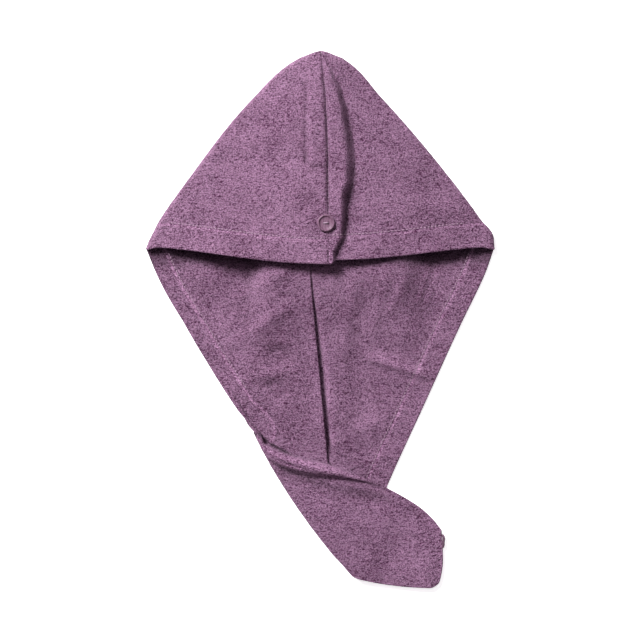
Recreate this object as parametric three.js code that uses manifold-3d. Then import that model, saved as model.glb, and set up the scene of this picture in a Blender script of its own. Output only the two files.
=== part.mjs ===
import * as THREE from 'three';
import { mergeVertices } from 'three/addons/utils/BufferGeometryUtils.js';
import Module from 'manifold-3d';

// A hair turban towel of terry cloth, laid flat with its nape side up and its tail folded across.
// Millimetres, +Z up. While it is built, the mouth of the hood lies on the X axis and the crown
// points to +Y. At the end the towel is moved so that its origin is the bottom centre of its box.

// Cloth
const TERRY = 2.6; // thickness of one layer with its pile
const LAYER_GAP = 0.5; // air between layers that lie on each other
const SEAM_GAP = 0.4; // between the panels' edges along the centre seam
const FOLD_SLACK = 1.2; // extra room inside the folded tail

// Hood
const HOOD_WIDTH = 402; // from side corner to side corner
const HOOD_LENGTH = 225; // from the crown's tip to the side corners
const HOOD_HEIGHT = 41; // top of the nape hem above the surface
const CROWN_FULLNESS = 0.75; // power of its rise from the sides to the seam, smaller is fuller
const SIDE_BEND = 5; // radius of the cloth's middle where the hood's sides turn under
const NAPE_DIP = 16; // how far the nape hem hangs below the corners
const SEAM_DIP = 4.6; // how much further it hangs at the seam
const SEAM_SHIFT = 8.2; // the nape seam lies this far right of the tip
const TIP_SHIFT = 1.2; // the crown's tip lies this far right of the middle
const RIDGE_WIDTH = 23; // the standing fold beside the nape seam
const RIDGE_DROP = 10; // height of its steep right side
const WIDENING = 0.7; // power by which the hood widens from its tip
const CORNER_FULLNESS = 0.02; // share by which it is fuller just above its corners
const HOOD_LEAN = 9.6; // its upper part leans this far to the left
const TIP_REACH = 60; // width over which the tip's round end turns into the flat sides

// Front of the hood, seen from inside below the nape hem
const LEFT_HEM_RUN = 124; // from the left corner in to the fold
const LEFT_HEM_DROP = 213; // from the left corner down to the fold
const LEFT_HEM_BOW = 7;
const RIGHT_HEM_RUN = 125; // from the right corner in to where the tail crosses the hem
const RIGHT_HEM_DROP = 279;
const FRONT_SEAM_SHIFT = 14; // the front seam lies this far left of the middle at the mouth
const FRONT_SEAM_LEAN = 23; // and comes back this far on its way to the tail
const SEAM_LAP = 8; // the left panel's edge lies over the right panel by this at the mouth
const LAP_MARGIN = 16; // the left panel is at full height this far before the right one's edge
const LAP_RAMP = 40; // and rises over this distance
const CORNER_INSET = 0.8; // the front's corners lie this far inside the hood's
const CORNER_STEP = 3; // and this far below its mouth

// Tail
const FOLD_RUN = 114; // from the fold's upper end across to its lower end
const FOLD_DROP = 164;
const LEFT_FOLD_FROM = 0.035; // shares of the fold between which the left panel lies
const LEFT_FOLD_TO = 0.78;
const LEFT_TAIL_TO = 0.97; // share of the tail's width that it reaches at the end
const TAIL_RUN = 98.5; // lower edge from the fold across to the end
const TAIL_DROP = 16;
const TAIL_END = 67; // width of the blunt end
const TAIL_END_LEAN = 4.6;
const TAIL_RAMP = 40; // distance over which the tail comes down past an edge under it
const HEM_SETTLE = 3; // and it starts this far past that edge
const ROLL_HEIGHT = 5; // rolled upper edge of the tail near the fold
const ROLL_WIDTH = 24;

// Button and loop
const BUTTON_DIAMETER = 20;
const BUTTON_THICKNESS = 3.6;
const BUTTON_FROM_HEM = 47; // from the nape hem up to the button's middle
const BUTTON_OFF_SEAM = 2.6; // left of the seam
const BUTTON_GAP = 0.3;
const BUTTON_DISH = 0.55; // height of the dish's floor as a share of the thickness
const BUTTON_HOLE_DIAMETER = 2.2;
const BUTTON_HOLE_SPACING = 5;
const THREAD_DIAMETER = 1.2;
const LOOP_CORD = 2.6;
const LOOP_HEIGHT = 16; // along the tail's end
const LOOP_REACH = 6; // out of the tail's end
const LOOP_FROM_TOP = 5; // from the end's upper corner
const LOOP_GAP = 0.3;

// Colours
const TERRY_COLOUR = 0x8f6a86;
const BUTTON_COLOUR = 0x8a6482;
const THREAD_COLOUR = 0x9a7592;

// Standing fold beside the nape seam: width and drop at places from the tip (0) to the hem (1)
const RIDGE = [
  { along: 0.0, width: 0.04, drop: 0.0 },
  { along: 0.1, width: 0.15, drop: 0.2 },
  { along: 0.22, width: 0.6, drop: 0.7 },
  { along: 0.4, width: 0.85, drop: 1.0 },
  { along: 0.56, width: 1.0, drop: 1.0 },
  { along: 0.78, width: 0.68, drop: 0.9 },
  { along: 1.0, width: 0.45, drop: 0.5 },
];

// Upper edge of the tail: along its chord, and its rise as a share of the chord
const TAIL_UPPER_EDGE = [
  { along: 0.39, rise: 0.021 },
  { along: 0.68, rise: 0.052 },
  { along: 0.76, rise: 0.053 },
  { along: 0.865, rise: 0.045 },
  { along: 0.945, rise: 0.024 },
];

// Lower edge of the tail from the fold's lower end, as shares of its run and drop
const TAIL_LOWER_EDGE = [
  { along: 0.19, drop: 0.48 },
  { along: 0.55, drop: 0.84 },
];

// Low folds in the single layer of the front: place as shares of half the hood's width and of the
// left hem's drop, half length and half width as shares of the hood's width, height in layers
const FRONT_FOLDS = [
  { across: -0.5, along: 0.47, length: 0.14, width: 0.065, height: 1.6, turn: -62 },
  { across: -0.62, along: 0.2, length: 0.11, width: 0.07, height: 1.4, turn: -50 },
  { across: 0.48, along: 0.66, length: 0.12, width: 0.065, height: 1.7, turn: -18 },
  { across: 0.3, along: 0.98, length: 0.1, width: 0.06, height: 1.4, turn: 30 },
  { across: 0.66, along: 0.22, length: 0.16, width: 0.07, height: 1.5, turn: -66 },
];

// Section of the button from its middle underneath, as shares of its radius and thickness
const BUTTON_PROFILE = [
  { out: 0, height: 0 },
  { out: 0.8, height: 0 },
  { out: 0.95, height: 0.2 },
  { out: 1, height: 0.5 },
  { out: 0.97, height: 0.8 },
  { out: 0.88, height: 1 },
  { out: 0.8, height: 0.95 },
  { out: 0.72, height: BUTTON_DISH },
  { out: 0, height: BUTTON_DISH },
];

// Thread through the two holes: shares of half their spacing and of the thread's height
const THREAD_PATH = [
  { across: -1, height: 0.03 },
  { across: -1, height: 0.4 },
  { across: -0.96, height: 0.93 },
  { across: -0.5, height: 1.09 },
  { across: 0, height: 1.12 },
  { across: 0.5, height: 1.09 },
  { across: 0.96, height: 0.93 },
  { across: 1, height: 0.4 },
  { across: 1, height: 0.03 },
];

// Loop at the tail's end: shares of its reach and of half its height
const LOOP_PATH = [
  { out: 0, along: -1 },
  { out: 0.58, along: -1 },
  { out: 1, along: -0.7 },
  { out: 1, along: 0 },
  { out: 1, along: 0.7 },
  { out: 0.58, along: 1 },
  { out: 0, along: 1 },
];

// Rows and columns of the cloth's grid
const HOOD_ROWS = 18;
const FRONT_ROWS = 15;
const FOLD_STEPS = 6;
const TAIL_ROWS = 15;
const FRONT_COLUMNS = 12;
const BEND_COLUMNS = 4;
const LEFT_NAPE_COLUMNS = 10;
const RIGHT_NAPE_COLUMNS = 7;
const RIDGE_COLUMNS = [0, 0.4, 0.8, 1.0, 1.2, 1.45, 1.9]; // shares of the fold's width
const CROWN_CROWDING = 1.5; // power by which the rows crowd towards the crown
const EDGE_CROWDING = 1.5; // power by which columns crowd towards the tail's upper edge

// Facets of the small parts
const BUTTON_SIDES = 28;
const HOLE_SIDES = 12;
const CORD_SIDES = 8;
const THREAD_STEPS = 18;
const LOOP_STEPS = 20;

const HALF_TERRY = TERRY / 2;
const LAYER = TERRY + LAYER_GAP;
const LEFT = -1;
const RIGHT = 1;

const clamp = THREE.MathUtils.clamp;
const mix = THREE.MathUtils.lerp;
const smooth = (value) => THREE.MathUtils.smoothstep(value, 0, 1);
const ramp = (value, from, distance) => smooth((value - from) / distance);
const flat = (x, y) => new THREE.Vector3(x, y, 0);

// Value of a table's column between its rows
function readTable(table, column, along) {
  const last = table.length - 1;
  let row = 0;
  while (row < last - 1 && along > table[row + 1].along) {
    row += 1;
  }
  const share = clamp((along - table[row].along) / (table[row + 1].along - table[row].along), 0, 1);
  return mix(table[row][column], table[row + 1][column], smooth(share));
}

// Plan of the towel: corners, seams, hems and the tail's edges

const foldStart = flat(-HOOD_WIDTH / 2 + LEFT_HEM_RUN, -LEFT_HEM_DROP);
const foldEnd = flat(foldStart.x + FOLD_RUN, foldStart.y - FOLD_DROP);
const foldLine = new THREE.CubicBezierCurve3(
  foldStart,
  flat(foldStart.x + 0.25 * FOLD_RUN, foldStart.y - 0.34 * FOLD_DROP),
  flat(foldStart.x + 0.72 * FOLD_RUN, foldStart.y - 0.83 * FOLD_DROP),
  foldEnd,
);
const tailLowCorner = flat(foldEnd.x + TAIL_RUN, foldEnd.y - TAIL_DROP);
const tailHighCorner = flat(tailLowCorner.x + TAIL_END_LEAN, tailLowCorner.y + TAIL_END);
const hemCrossing = flat(HOOD_WIDTH / 2 - RIGHT_HEM_RUN, -RIGHT_HEM_DROP);

const seamTopX = (s) => TIP_SHIFT + SEAM_SHIFT * (1 - (1 - s) ** 3);
const seamBottomX = (s) => mix(TIP_SHIFT, -FRONT_SEAM_SHIFT, s);
const frontSeamX = (y) => -FRONT_SEAM_SHIFT + FRONT_SEAM_LEAN * (-y / (LEFT_HEM_DROP + 0.2 * FOLD_DROP));
const hoodMiddleX = (s) => mix(TIP_SHIFT, 0, s) - HOOD_LEAN * Math.sin(Math.PI * s) * (1 - s) ** 2;
const fullness = (s) => 1 + CORNER_FULLNESS * Math.sin(Math.PI * s ** 4);
const hoodHalfWidth = (s) => (HOOD_WIDTH / 2 - HALF_TERRY) * s ** WIDENING * fullness(s);
const hoodEdgeX = (side, s) => hoodMiddleX(s) + side * hoodHalfWidth(s);

// The right hem runs straight on under the tail to the fold's lower end
const hemLineX = (y) => mix(hemCrossing.x, foldEnd.x, (hemCrossing.y - y) / (hemCrossing.y - foldEnd.y));

// Edge of the right panel that is hidden under the left one
function hiddenEdgeX(y) {
  const start = -FRONT_SEAM_SHIFT - SEAM_LAP;
  return mix(start, foldStart.x, clamp(-y / LEFT_HEM_DROP, 0, 1.5));
}

const buttonY = BUTTON_FROM_HEM - NAPE_DIP - SEAM_DIP;
const buttonPlace = flat(seamTopX(1 - buttonY / HOOD_LENGTH) - BUTTON_OFF_SEAM, buttonY);

// Heights of the cloth's middle

// Rise of the nape seam over the top of the side bends
function crownRise(s) {
  return (HOOD_HEIGHT - TERRY - 2 * SIDE_BEND) * Math.sin((Math.PI / 2) * s);
}

const seatAlong = 1 - (buttonPlace.y + 0.6 * NAPE_DIP) / HOOD_LENGTH;
const buttonSeat = HALF_TERRY + 2 * SIDE_BEND + crownRise(seatAlong);

function frontRelief(x, y) {
  let height = 0;
  for (const fold of FRONT_FOLDS) {
    const dx = x - (fold.across * HOOD_WIDTH) / 2;
    const dy = y + fold.along * LEFT_HEM_DROP;
    const turn = THREE.MathUtils.degToRad(fold.turn);
    const along = (dx * Math.cos(turn) + dy * Math.sin(turn)) / (fold.length * HOOD_WIDTH);
    const across = (dy * Math.cos(turn) - dx * Math.sin(turn)) / (fold.width * HOOD_WIDTH);
    const reach = Math.min(1, Math.hypot(along, across));
    height += fold.height * TERRY * Math.cos((reach * Math.PI) / 2) ** 2;
  }
  return height;
}

// The left panel climbs over the hidden edge of the right one
function leftLift(x, y, s) {
  const edge = s < 1 ? seamBottomX(s) - SEAM_LAP : hiddenEdgeX(y);
  const begin = s < 1 ? ramp(s, 0.4, 0.3) : 1;
  return begin * LAYER * ramp(x, edge - LAP_MARGIN - LAP_RAMP, LAP_RAMP);
}

// The tail rests on what lies under it, and comes down past each hidden edge
function tailHeight(x, y) {
  const pastSeam = ramp(x, frontSeamX(y) + HEM_SETTLE, TAIL_RAMP);
  const pastHem = ramp(x, hemLineX(y) + HEM_SETTLE, TAIL_RAMP);
  return HALF_TERRY + LAYER * (2 - pastSeam - pastHem) + FOLD_SLACK * (1 - pastHem);
}

// The cloth's middle in the hood. A row runs from the front seam round the side to the nape seam.

function hoodSection(side, s) {
  const edge = hoodEdgeX(side, s);
  const lap = side === RIGHT ? SEAM_LAP * ramp(s, 0.75, 0.25) : 0;
  const bottom = seamBottomX(s) + (side * SEAM_GAP) / 2 - lap;
  const top = seamTopX(s) + (side * SEAM_GAP) / 2;
  const bottomWidth = Math.max(0, side * (edge - bottom));
  const topWidth = Math.max(0, side * (edge - top));
  const bend = Math.min(SIDE_BEND, bottomWidth, topWidth);
  const bendLength = Math.PI * Math.sqrt((bend * bend + SIDE_BEND * SIDE_BEND) / 2);
  const front = bottomWidth - bend;
  const nape = topWidth - bend;
  return { side, s, bottom, top, bend, bendLength, front, nape, topWidth };
}

// Distances along the section at which the columns lie
function hoodStations(section) {
  const { front, nape, bendLength, side, s, topWidth } = section;
  const stations = [];
  for (let i = 0; i <= FRONT_COLUMNS; i += 1) {
    stations.push((front * i) / FRONT_COLUMNS);
  }
  for (let i = 1; i <= BEND_COLUMNS; i += 1) {
    stations.push(front + (bendLength * i) / BEND_COLUMNS);
  }
  const total = front + bendLength + nape;
  if (side === LEFT) {
    for (let i = 1; i <= LEFT_NAPE_COLUMNS; i += 1) {
      stations.push(front + bendLength + (nape * i) / LEFT_NAPE_COLUMNS);
    }
  } else {
    const ridge = Math.min(RIDGE_WIDTH * readTable(RIDGE, 'width', s), 0.3 * nape);
    const outer = ridge * RIDGE_COLUMNS.at(-1);
    for (let i = 1; i <= RIGHT_NAPE_COLUMNS; i += 1) {
      stations.push(mix(front + bendLength, total - outer, i / RIGHT_NAPE_COLUMNS));
    }
    for (const share of RIDGE_COLUMNS.slice(0, -1).reverse()) {
      stations.push(total - ridge * share);
    }
  }
  const spread = ramp(topWidth, 0, TIP_REACH);
  const last = stations.length - 1;
  return stations.map((station, i) => mix((total * i) / last, station, spread));
}

function hoodPoint(section, station) {
  const { side, s, bottom, top, bend, bendLength, front, nape, topWidth } = section;
  let turn = Math.PI / 2;
  let x = top + side * (front + bendLength + nape - station);
  if (station <= front) {
    turn = -Math.PI / 2;
    x = bottom + side * station;
  } else if (station < front + bendLength) {
    turn = Math.PI * ((station - front) / bendLength - 0.5);
    const start = turn < 0 ? bottom + side * front : top + side * nape;
    x = start + side * bend * Math.cos(turn);
  }
  const upper = Math.max(0, Math.sin(turn));
  const fromSeam = Math.abs(x - top);
  const outward = fromSeam / Math.max(topWidth, 1e-6);
  const crown = upper * (0.5 + 0.5 * Math.cos(Math.PI * clamp(outward, 0, 1))) ** CROWN_FULLNESS;
  let onRidge = 1;
  if (side === RIGHT) {
    const width = RIDGE_WIDTH * readTable(RIDGE, 'width', s);
    onRidge = 1 - ramp(fromSeam, 0.8 * width, 0.65 * width + 0.5);
  }
  const rise = crownRise(s);
  const drop = RIDGE_DROP * readTable(RIDGE, 'drop', s) * (1 - onRidge);
  const tip = 1 - ramp(topWidth, 0, TIP_REACH);
  const dip = (NAPE_DIP + SEAM_DIP * onRidge) * s ** 3;
  const rounding = SIDE_BEND * tip * (1 - Math.cos(turn));
  const y = (HOOD_LENGTH - HALF_TERRY) * (1 - s) - rounding - dip * crown;
  let z = HALF_TERRY + SIDE_BEND * (1 + Math.sin(turn)) + (rise - drop) * crown;
  if (side === LEFT && turn < 0) {
    z += leftLift(x, y, s) * -Math.sin(turn);
  }
  const fromButton = Math.hypot(x - buttonPlace.x, y - buttonPlace.y);
  const seat = 1 - ramp(fromButton, BUTTON_DIAMETER, 0.6 * BUTTON_DIAMETER);
  if (turn === Math.PI / 2) {
    z = mix(z, buttonSeat, seat * onRidge);
  }
  return new THREE.Vector3(x, y, z);
}

// Front below the mouth, the fold and the folded tail

function foldRadius(layer, place) {
  const over = tailHeight(place.x, place.y) + (layer === RIGHT ? LAYER : 0);
  const under = HALF_TERRY + (layer === LEFT ? LAYER : 0);
  return (over - under) / 2;
}

// Middle line about which the tail is folded over, under and over its bend
function foldAxis(v) {
  const place = foldLine.getPoint(v);
  const tangent = foldLine.getTangent(v);
  const outward = flat(tangent.y, -tangent.x);
  const inset = foldRadius(RIGHT, place) + HALF_TERRY;
  return { axis: place.clone().addScaledVector(outward, -inset), place, outward };
}

const foldTop = foldAxis(0).axis;
const foldFoot = foldAxis(1).axis;

const leftHem = new THREE.QuadraticBezierCurve3(
  flat(-HOOD_WIDTH / 2 + CORNER_INSET, -CORNER_STEP),
  flat(-HOOD_WIDTH / 2 + LEFT_HEM_RUN / 2 - 2 * LEFT_HEM_BOW, -LEFT_HEM_DROP / 2),
  foldStart,
);

// The left hem closes in on the bend so that it lies inside the right panel's
function leftHemPoint(q) {
  const point = leftHem.getPoint(q);
  point.addScaledVector(foldTop.clone().sub(foldStart), ramp(q, 0.5, 0.36));
  return point.addScaledVector(foldAxis(LEFT_FOLD_FROM).axis.sub(foldTop), ramp(q, 0.8, 0.2));
}

function leftSeamPoint(q) {
  const end = foldAxis(LEFT_FOLD_TO).axis;
  const y = mix(0, end.y, q);
  return flat(mix(frontSeamX(y), end.x, ramp(q, 0.75, 0.25)), y);
}

const rightHem = new THREE.CatmullRomCurve3([
  flat(HOOD_WIDTH / 2 - CORNER_INSET, -CORNER_STEP),
  flat(HOOD_WIDTH / 2 - RIGHT_HEM_RUN * 0.33, -RIGHT_HEM_DROP * 0.33),
  flat(HOOD_WIDTH / 2 - RIGHT_HEM_RUN * 0.66, -RIGHT_HEM_DROP * 0.66),
  hemCrossing,
  foldFoot,
]);

function rightSeamPoint(q) {
  const y = mix(0, foldTop.y, q);
  return flat(mix(hiddenEdgeX(0), foldTop.x, q), y);
}

const chord = tailHighCorner.clone().sub(foldTop);
const sideways = flat(-chord.y, chord.x);

function onUpperEdge(row) {
  const point = foldTop.clone().addScaledVector(chord, row.along);
  return point.addScaledVector(sideways, row.rise);
}

function onLowerEdge(row) {
  return flat(foldEnd.x + row.along * TAIL_RUN, foldEnd.y - row.drop * TAIL_DROP);
}

const upperPoints = TAIL_UPPER_EDGE.map(onUpperEdge);
const lowerPoints = TAIL_LOWER_EDGE.map(onLowerEdge);
const tailUpperEdge = new THREE.CatmullRomCurve3([foldTop, ...upperPoints, tailHighCorner]);
const tailLowerEdge = new THREE.CatmullRomCurve3([foldFoot, ...lowerPoints, tailLowCorner]);

// A row between two edges, which takes the fold's curved form by a share
function rowPoint(start, end, v, curved, from, to) {
  const point = start.clone().lerp(end, v);
  const onFold = foldAxis(mix(from, to, v)).axis;
  const onChord = foldAxis(from).axis.lerp(foldAxis(to).axis, v);
  return point.addScaledVector(onFold.sub(onChord), curved);
}

function frontPoint(side, q, v) {
  if (side === LEFT) {
    const curved = ramp(q, 0.86, 0.14);
    const point = rowPoint(leftSeamPoint(q), leftHemPoint(q), v, curved, LEFT_FOLD_TO, LEFT_FOLD_FROM);
    point.z = HALF_TERRY + frontRelief(point.x, point.y) + leftLift(point.x, point.y, 1);
    return point;
  }
  const point = rowPoint(rightSeamPoint(q), rightHem.getPointAt(q), v, ramp(q, 0.55, 0.45), 0, 1);
  point.z = HALF_TERRY + frontRelief(point.x, point.y);
  return point;
}

function foldPoint(side, step, v) {
  const share = side === LEFT ? mix(LEFT_FOLD_TO, LEFT_FOLD_FROM, v) : v;
  const { axis, place, outward } = foldAxis(share);
  const turn = Math.PI * (step / FOLD_STEPS - 0.5);
  const radius = foldRadius(side, place);
  const under = HALF_TERRY + (side === LEFT ? LAYER : 0);
  const point = axis.addScaledVector(outward, radius * Math.cos(turn));
  point.z = under + radius * (1 + Math.sin(turn));
  return point;
}

function tailPoint(side, q, v) {
  const leftFrom = mix(LEFT_FOLD_TO, LEFT_TAIL_TO, smooth(q));
  const share = side === LEFT ? mix(leftFrom, LEFT_FOLD_FROM, v) : v;
  const end = tailLowerEdge.getPointAt(q);
  const point = rowPoint(tailUpperEdge.getPointAt(q), end, share, 1 - ramp(q, 0, 0.6), 0, 1);
  point.z = tailHeight(point.x, point.y);
  if (side === RIGHT) {
    const fromEdge = share * tailUpperEdge.getPointAt(q).distanceTo(end);
    const roll = Math.sin(Math.PI * clamp(fromEdge / ROLL_WIDTH, 0, 1)) * (1 - ramp(q, 0.1, 0.5));
    point.z += LAYER + ROLL_HEIGHT * roll;
  }
  return point;
}

// Columns of the front and the tail: the right panel's crowd towards the tail's upper edge
function columnShare(side, i, crowded) {
  const even = i / FRONT_COLUMNS;
  return side === RIGHT ? mix(even, even ** EDGE_CROWDING, crowded) : even;
}

function frontRow(side, pointAt, crowded) {
  const row = [];
  for (let i = 0; i <= FRONT_COLUMNS; i += 1) {
    row.push(pointAt(columnShare(side, i, crowded)));
  }
  return row;
}

function panelRows(side) {
  const rows = [];
  for (let i = 0; i <= HOOD_ROWS; i += 1) {
    const section = hoodSection(side, (i / HOOD_ROWS) ** CROWN_CROWDING);
    rows.push(hoodStations(section).map((station) => hoodPoint(section, station)));
  }
  for (let i = 0; i < FRONT_ROWS; i += 1) {
    const q = i === 0 ? 0.004 : i / FRONT_ROWS;
    rows.push(frontRow(side, (v) => frontPoint(side, q, v), smooth(q)));
  }
  for (let i = 0; i <= FOLD_STEPS; i += 1) {
    rows.push(frontRow(side, (v) => foldPoint(side, i, v), 1));
  }
  for (let i = 1; i <= TAIL_ROWS; i += 1) {
    rows.push(frontRow(side, (v) => tailPoint(side, i / TAIL_ROWS, v), 1));
  }
  return rows;
}

// Cloth from its middle surface: both faces half a layer away, joined round the free edges

function clothGeometry(rows, side) {
  const middle = [];
  const first = [];
  for (const row of rows) {
    first.push(middle.length);
    middle.push(...row);
  }
  const triangles = [];
  for (let r = 0; r + 1 < rows.length; r += 1) {
    const columns = Math.min(rows[r].length, rows[r + 1].length) - 1;
    for (let c = 0; c < columns; c += 1) {
      const a = first[r] + c;
      const b = first[r + 1] + c;
      if (side === LEFT) {
        triangles.push([a, a + 1, b + 1], [a, b + 1, b]);
      } else {
        triangles.push([a, b + 1, a + 1], [a, b, b + 1]);
      }
    }
  }
  const normals = middle.map(() => new THREE.Vector3());
  for (const [a, b, c] of triangles) {
    const normal = middle[b].clone().sub(middle[a]).cross(middle[c].clone().sub(middle[a]));
    for (const corner of [a, b, c]) {
      normals[corner].add(normal);
    }
  }
  for (let r = 0; r <= HOOD_ROWS; r += 1) {
    for (let c = 0; c < rows[r].length; c += 1) {
      const onSeam = r === 0 || c === 0 || c === rows[r].length - 1;
      if (onSeam) {
        normals[first[r] + c].x = 0;
      }
    }
  }
  normals.forEach((normal) => normal.normalize());

  const positions = [];
  for (const offset of [HALF_TERRY, -HALF_TERRY]) {
    middle.forEach((point, i) => {
      const corner = point.clone().addScaledVector(normals[i], offset);
      positions.push(corner.x, corner.y, corner.z);
    });
  }
  const count = middle.length;
  const edges = new Map();
  const faces = [];
  for (const [a, b, c] of triangles) {
    faces.push(a, b, c, a + count, c + count, b + count);
    for (const [from, to] of [[a, b], [b, c], [c, a]]) {
      const back = `${to},${from}`;
      if (edges.has(back)) {
        edges.delete(back);
      } else {
        edges.set(`${from},${to}`, [from, to]);
      }
    }
  }
  for (const [from, to] of edges.values()) {
    faces.push(to, from, from + count, to, from + count, to + count);
  }
  const geometry = new THREE.BufferGeometry();
  geometry.setAttribute('position', new THREE.Float32BufferAttribute(positions, 3));
  geometry.setIndex(faces);
  geometry.computeVertexNormals();
  return geometry;
}

// Button with a raised rim and two holes

const wasm = await Module();
wasm.setup();

function toSolid(geometry) {
  const bare = geometry.clone();
  bare.deleteAttribute('normal');
  bare.deleteAttribute('uv');
  const merged = mergeVertices(bare);
  return new wasm.Manifold(new wasm.Mesh({
    numProp: 3,
    vertProperties: new Float32Array(merged.attributes.position.array),
    triVerts: new Uint32Array(merged.index.array),
  }));
}

function fromSolid(solid) {
  const mesh = solid.getMesh();
  const geometry = new THREE.BufferGeometry();
  geometry.setAttribute('position', new THREE.BufferAttribute(mesh.vertProperties, 3));
  geometry.setIndex(new THREE.BufferAttribute(mesh.triVerts, 1));
  geometry.computeVertexNormals();
  return geometry;
}

function buttonGeometry() {
  const radius = BUTTON_DIAMETER / 2;
  const profile = BUTTON_PROFILE.map((row) => {
    return new THREE.Vector2(row.out * radius, row.height * BUTTON_THICKNESS);
  });
  const body = new THREE.LatheGeometry(profile, BUTTON_SIDES);
  body.rotateX(Math.PI / 2);
  let solid = toSolid(body);
  for (const side of [LEFT, RIGHT]) {
    const holeRadius = BUTTON_HOLE_DIAMETER / 2;
    const hole = new THREE.CylinderGeometry(holeRadius, holeRadius, 4 * BUTTON_THICKNESS, HOLE_SIDES);
    hole.rotateX(Math.PI / 2);
    hole.translate((side * BUTTON_HOLE_SPACING) / 2, 0, 0);
    solid = solid.subtract(toSolid(hole));
  }
  return fromSolid(solid);
}

function cordGeometry(points, diameter, steps) {
  const section = new THREE.Shape();
  section.absarc(0, 0, diameter / 2, 0, 2 * Math.PI, false);
  const extrudePath = new THREE.CatmullRomCurve3(points);
  const form = { steps, curveSegments: CORD_SIDES, bevelEnabled: false, extrudePath };
  return new THREE.ExtrudeGeometry(section, form);
}

function threadGeometry() {
  const half = BUTTON_HOLE_SPACING / 2;
  const top = BUTTON_DISH * BUTTON_THICKNESS + THREAD_DIAMETER / 2 + BUTTON_GAP;
  const points = THREAD_PATH.map((row) => new THREE.Vector3(row.across * half, 0, row.height * top));
  return cordGeometry(points, THREAD_DIAMETER, THREAD_STEPS);
}

// Loop of cord sewn into the end of the tail, between its two layers
function loopGeometry() {
  const z = TERRY + LAYER_GAP / 2;
  const down = tailLowCorner.clone().sub(tailHighCorner).normalize();
  const out = flat(-down.y, down.x);
  const reach = LOOP_REACH - LOOP_CORD / 2;
  const half = (LOOP_HEIGHT - LOOP_CORD) / 2;
  const middle = tailHighCorner.clone().addScaledVector(down, LOOP_FROM_TOP + LOOP_HEIGHT / 2);
  const points = LOOP_PATH.map((row) => {
    const point = middle.clone().addScaledVector(out, mix(LOOP_GAP, reach, row.out));
    point.addScaledVector(down, row.along * half);
    point.z = z;
    return point;
  });
  return cordGeometry(points, LOOP_CORD, LOOP_STEPS);
}

// Assembly

const cloth = () => new THREE.MeshStandardMaterial({ color: TERRY_COLOUR, roughness: 0.95, metalness: 0 });
const buttonFinish = new THREE.MeshStandardMaterial({ color: BUTTON_COLOUR, roughness: 0.6, metalness: 0 });
const threadFinish = new THREE.MeshStandardMaterial({ color: THREAD_COLOUR, roughness: 0.85, metalness: 0 });

function piece(name, geometry, material) {
  const mesh = new THREE.Mesh(geometry, material);
  mesh.name = name;
  return mesh;
}

const turban = new THREE.Group();
turban.add(piece('left_panel', clothGeometry(panelRows(LEFT), LEFT), cloth()));
turban.add(piece('right_panel', clothGeometry(panelRows(RIGHT), RIGHT), cloth()));

const fastening = new THREE.Group();
fastening.position.set(buttonPlace.x, buttonPlace.y, buttonSeat + HALF_TERRY + BUTTON_GAP);
fastening.add(piece('button', buttonGeometry(), buttonFinish));
fastening.add(piece('button_thread', threadGeometry(), threadFinish));
turban.add(fastening);
turban.add(piece('tail_loop', loopGeometry(), cloth()));

const box = new THREE.Box3().setFromObject(turban);
turban.position.set(-(box.min.x + box.max.x) / 2, -(box.min.y + box.max.y) / 2, -box.min.z);

export default turban;
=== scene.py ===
import math

import bpy
import numpy as np
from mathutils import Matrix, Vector
from mathutils.bvhtree import BVHTree
from mathutils.kdtree import KDTree


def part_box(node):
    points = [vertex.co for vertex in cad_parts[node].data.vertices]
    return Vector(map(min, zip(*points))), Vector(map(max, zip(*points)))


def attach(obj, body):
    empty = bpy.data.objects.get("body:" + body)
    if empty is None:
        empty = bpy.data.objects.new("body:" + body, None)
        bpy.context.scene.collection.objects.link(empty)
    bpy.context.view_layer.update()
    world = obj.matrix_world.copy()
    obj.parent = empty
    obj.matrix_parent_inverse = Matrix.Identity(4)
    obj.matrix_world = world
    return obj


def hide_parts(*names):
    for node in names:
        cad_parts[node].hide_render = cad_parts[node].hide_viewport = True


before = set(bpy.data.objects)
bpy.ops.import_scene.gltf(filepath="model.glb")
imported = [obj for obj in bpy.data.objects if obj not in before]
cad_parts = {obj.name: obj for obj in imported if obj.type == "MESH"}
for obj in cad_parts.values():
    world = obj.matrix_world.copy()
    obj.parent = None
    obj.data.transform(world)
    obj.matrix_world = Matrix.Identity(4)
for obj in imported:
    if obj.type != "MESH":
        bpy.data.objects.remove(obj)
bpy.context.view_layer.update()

# A hair turban towel of terry cloth, laid flat. The shapes are worked out in millimetres, with the
# mouth of the hood on the X axis and the crown to +Y, and moved into the frame at the end.

MM = 0.001
LEFT = -1
RIGHT = 1

# Cloth
TERRY = 2.6
HALF = TERRY / 2
LAYER_GAP = 0.5
LAYER = TERRY + LAYER_GAP
SEAM_GAP = 0.4
FOLD_SLACK = 1.2

# Hood
HOOD_WIDTH = 402
HOOD_LENGTH = 225
HOOD_HEIGHT = 41
CROWN_FULLNESS = 0.75
SIDE_BEND = 5
NAPE_DIP = 16
SEAM_DIP = 4.6
SEAM_SHIFT = 8.2
TIP_SHIFT = 1.2
RIDGE_WIDTH = 23
RIDGE_DROP = 14
WIDENING = 0.7
CORNER_FULLNESS = 0.02
HOOD_LEAN = 9.6
TIP_REACH = 60
TIP_EXTRA = {LEFT: 5, RIGHT: 6.5}  # how much wider the tip is
TIP_DOME = 2.4
TIP_DOME_WIDTH = 6.5
CORNER_EXTRA = {LEFT: -1.2, RIGHT: 4.6}
CORNER_DROOP = 3.2
CREST_HEIGHT = 1.3  # of the fold beside the nape seam
GROOVE_DEPTH = 3.4  # of the nape seam
GROOVE_WIDTH = 2.4
NAPE_RIDGE = 1.8  # height of the band left of the seam, and depth of the furrow beside it

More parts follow.
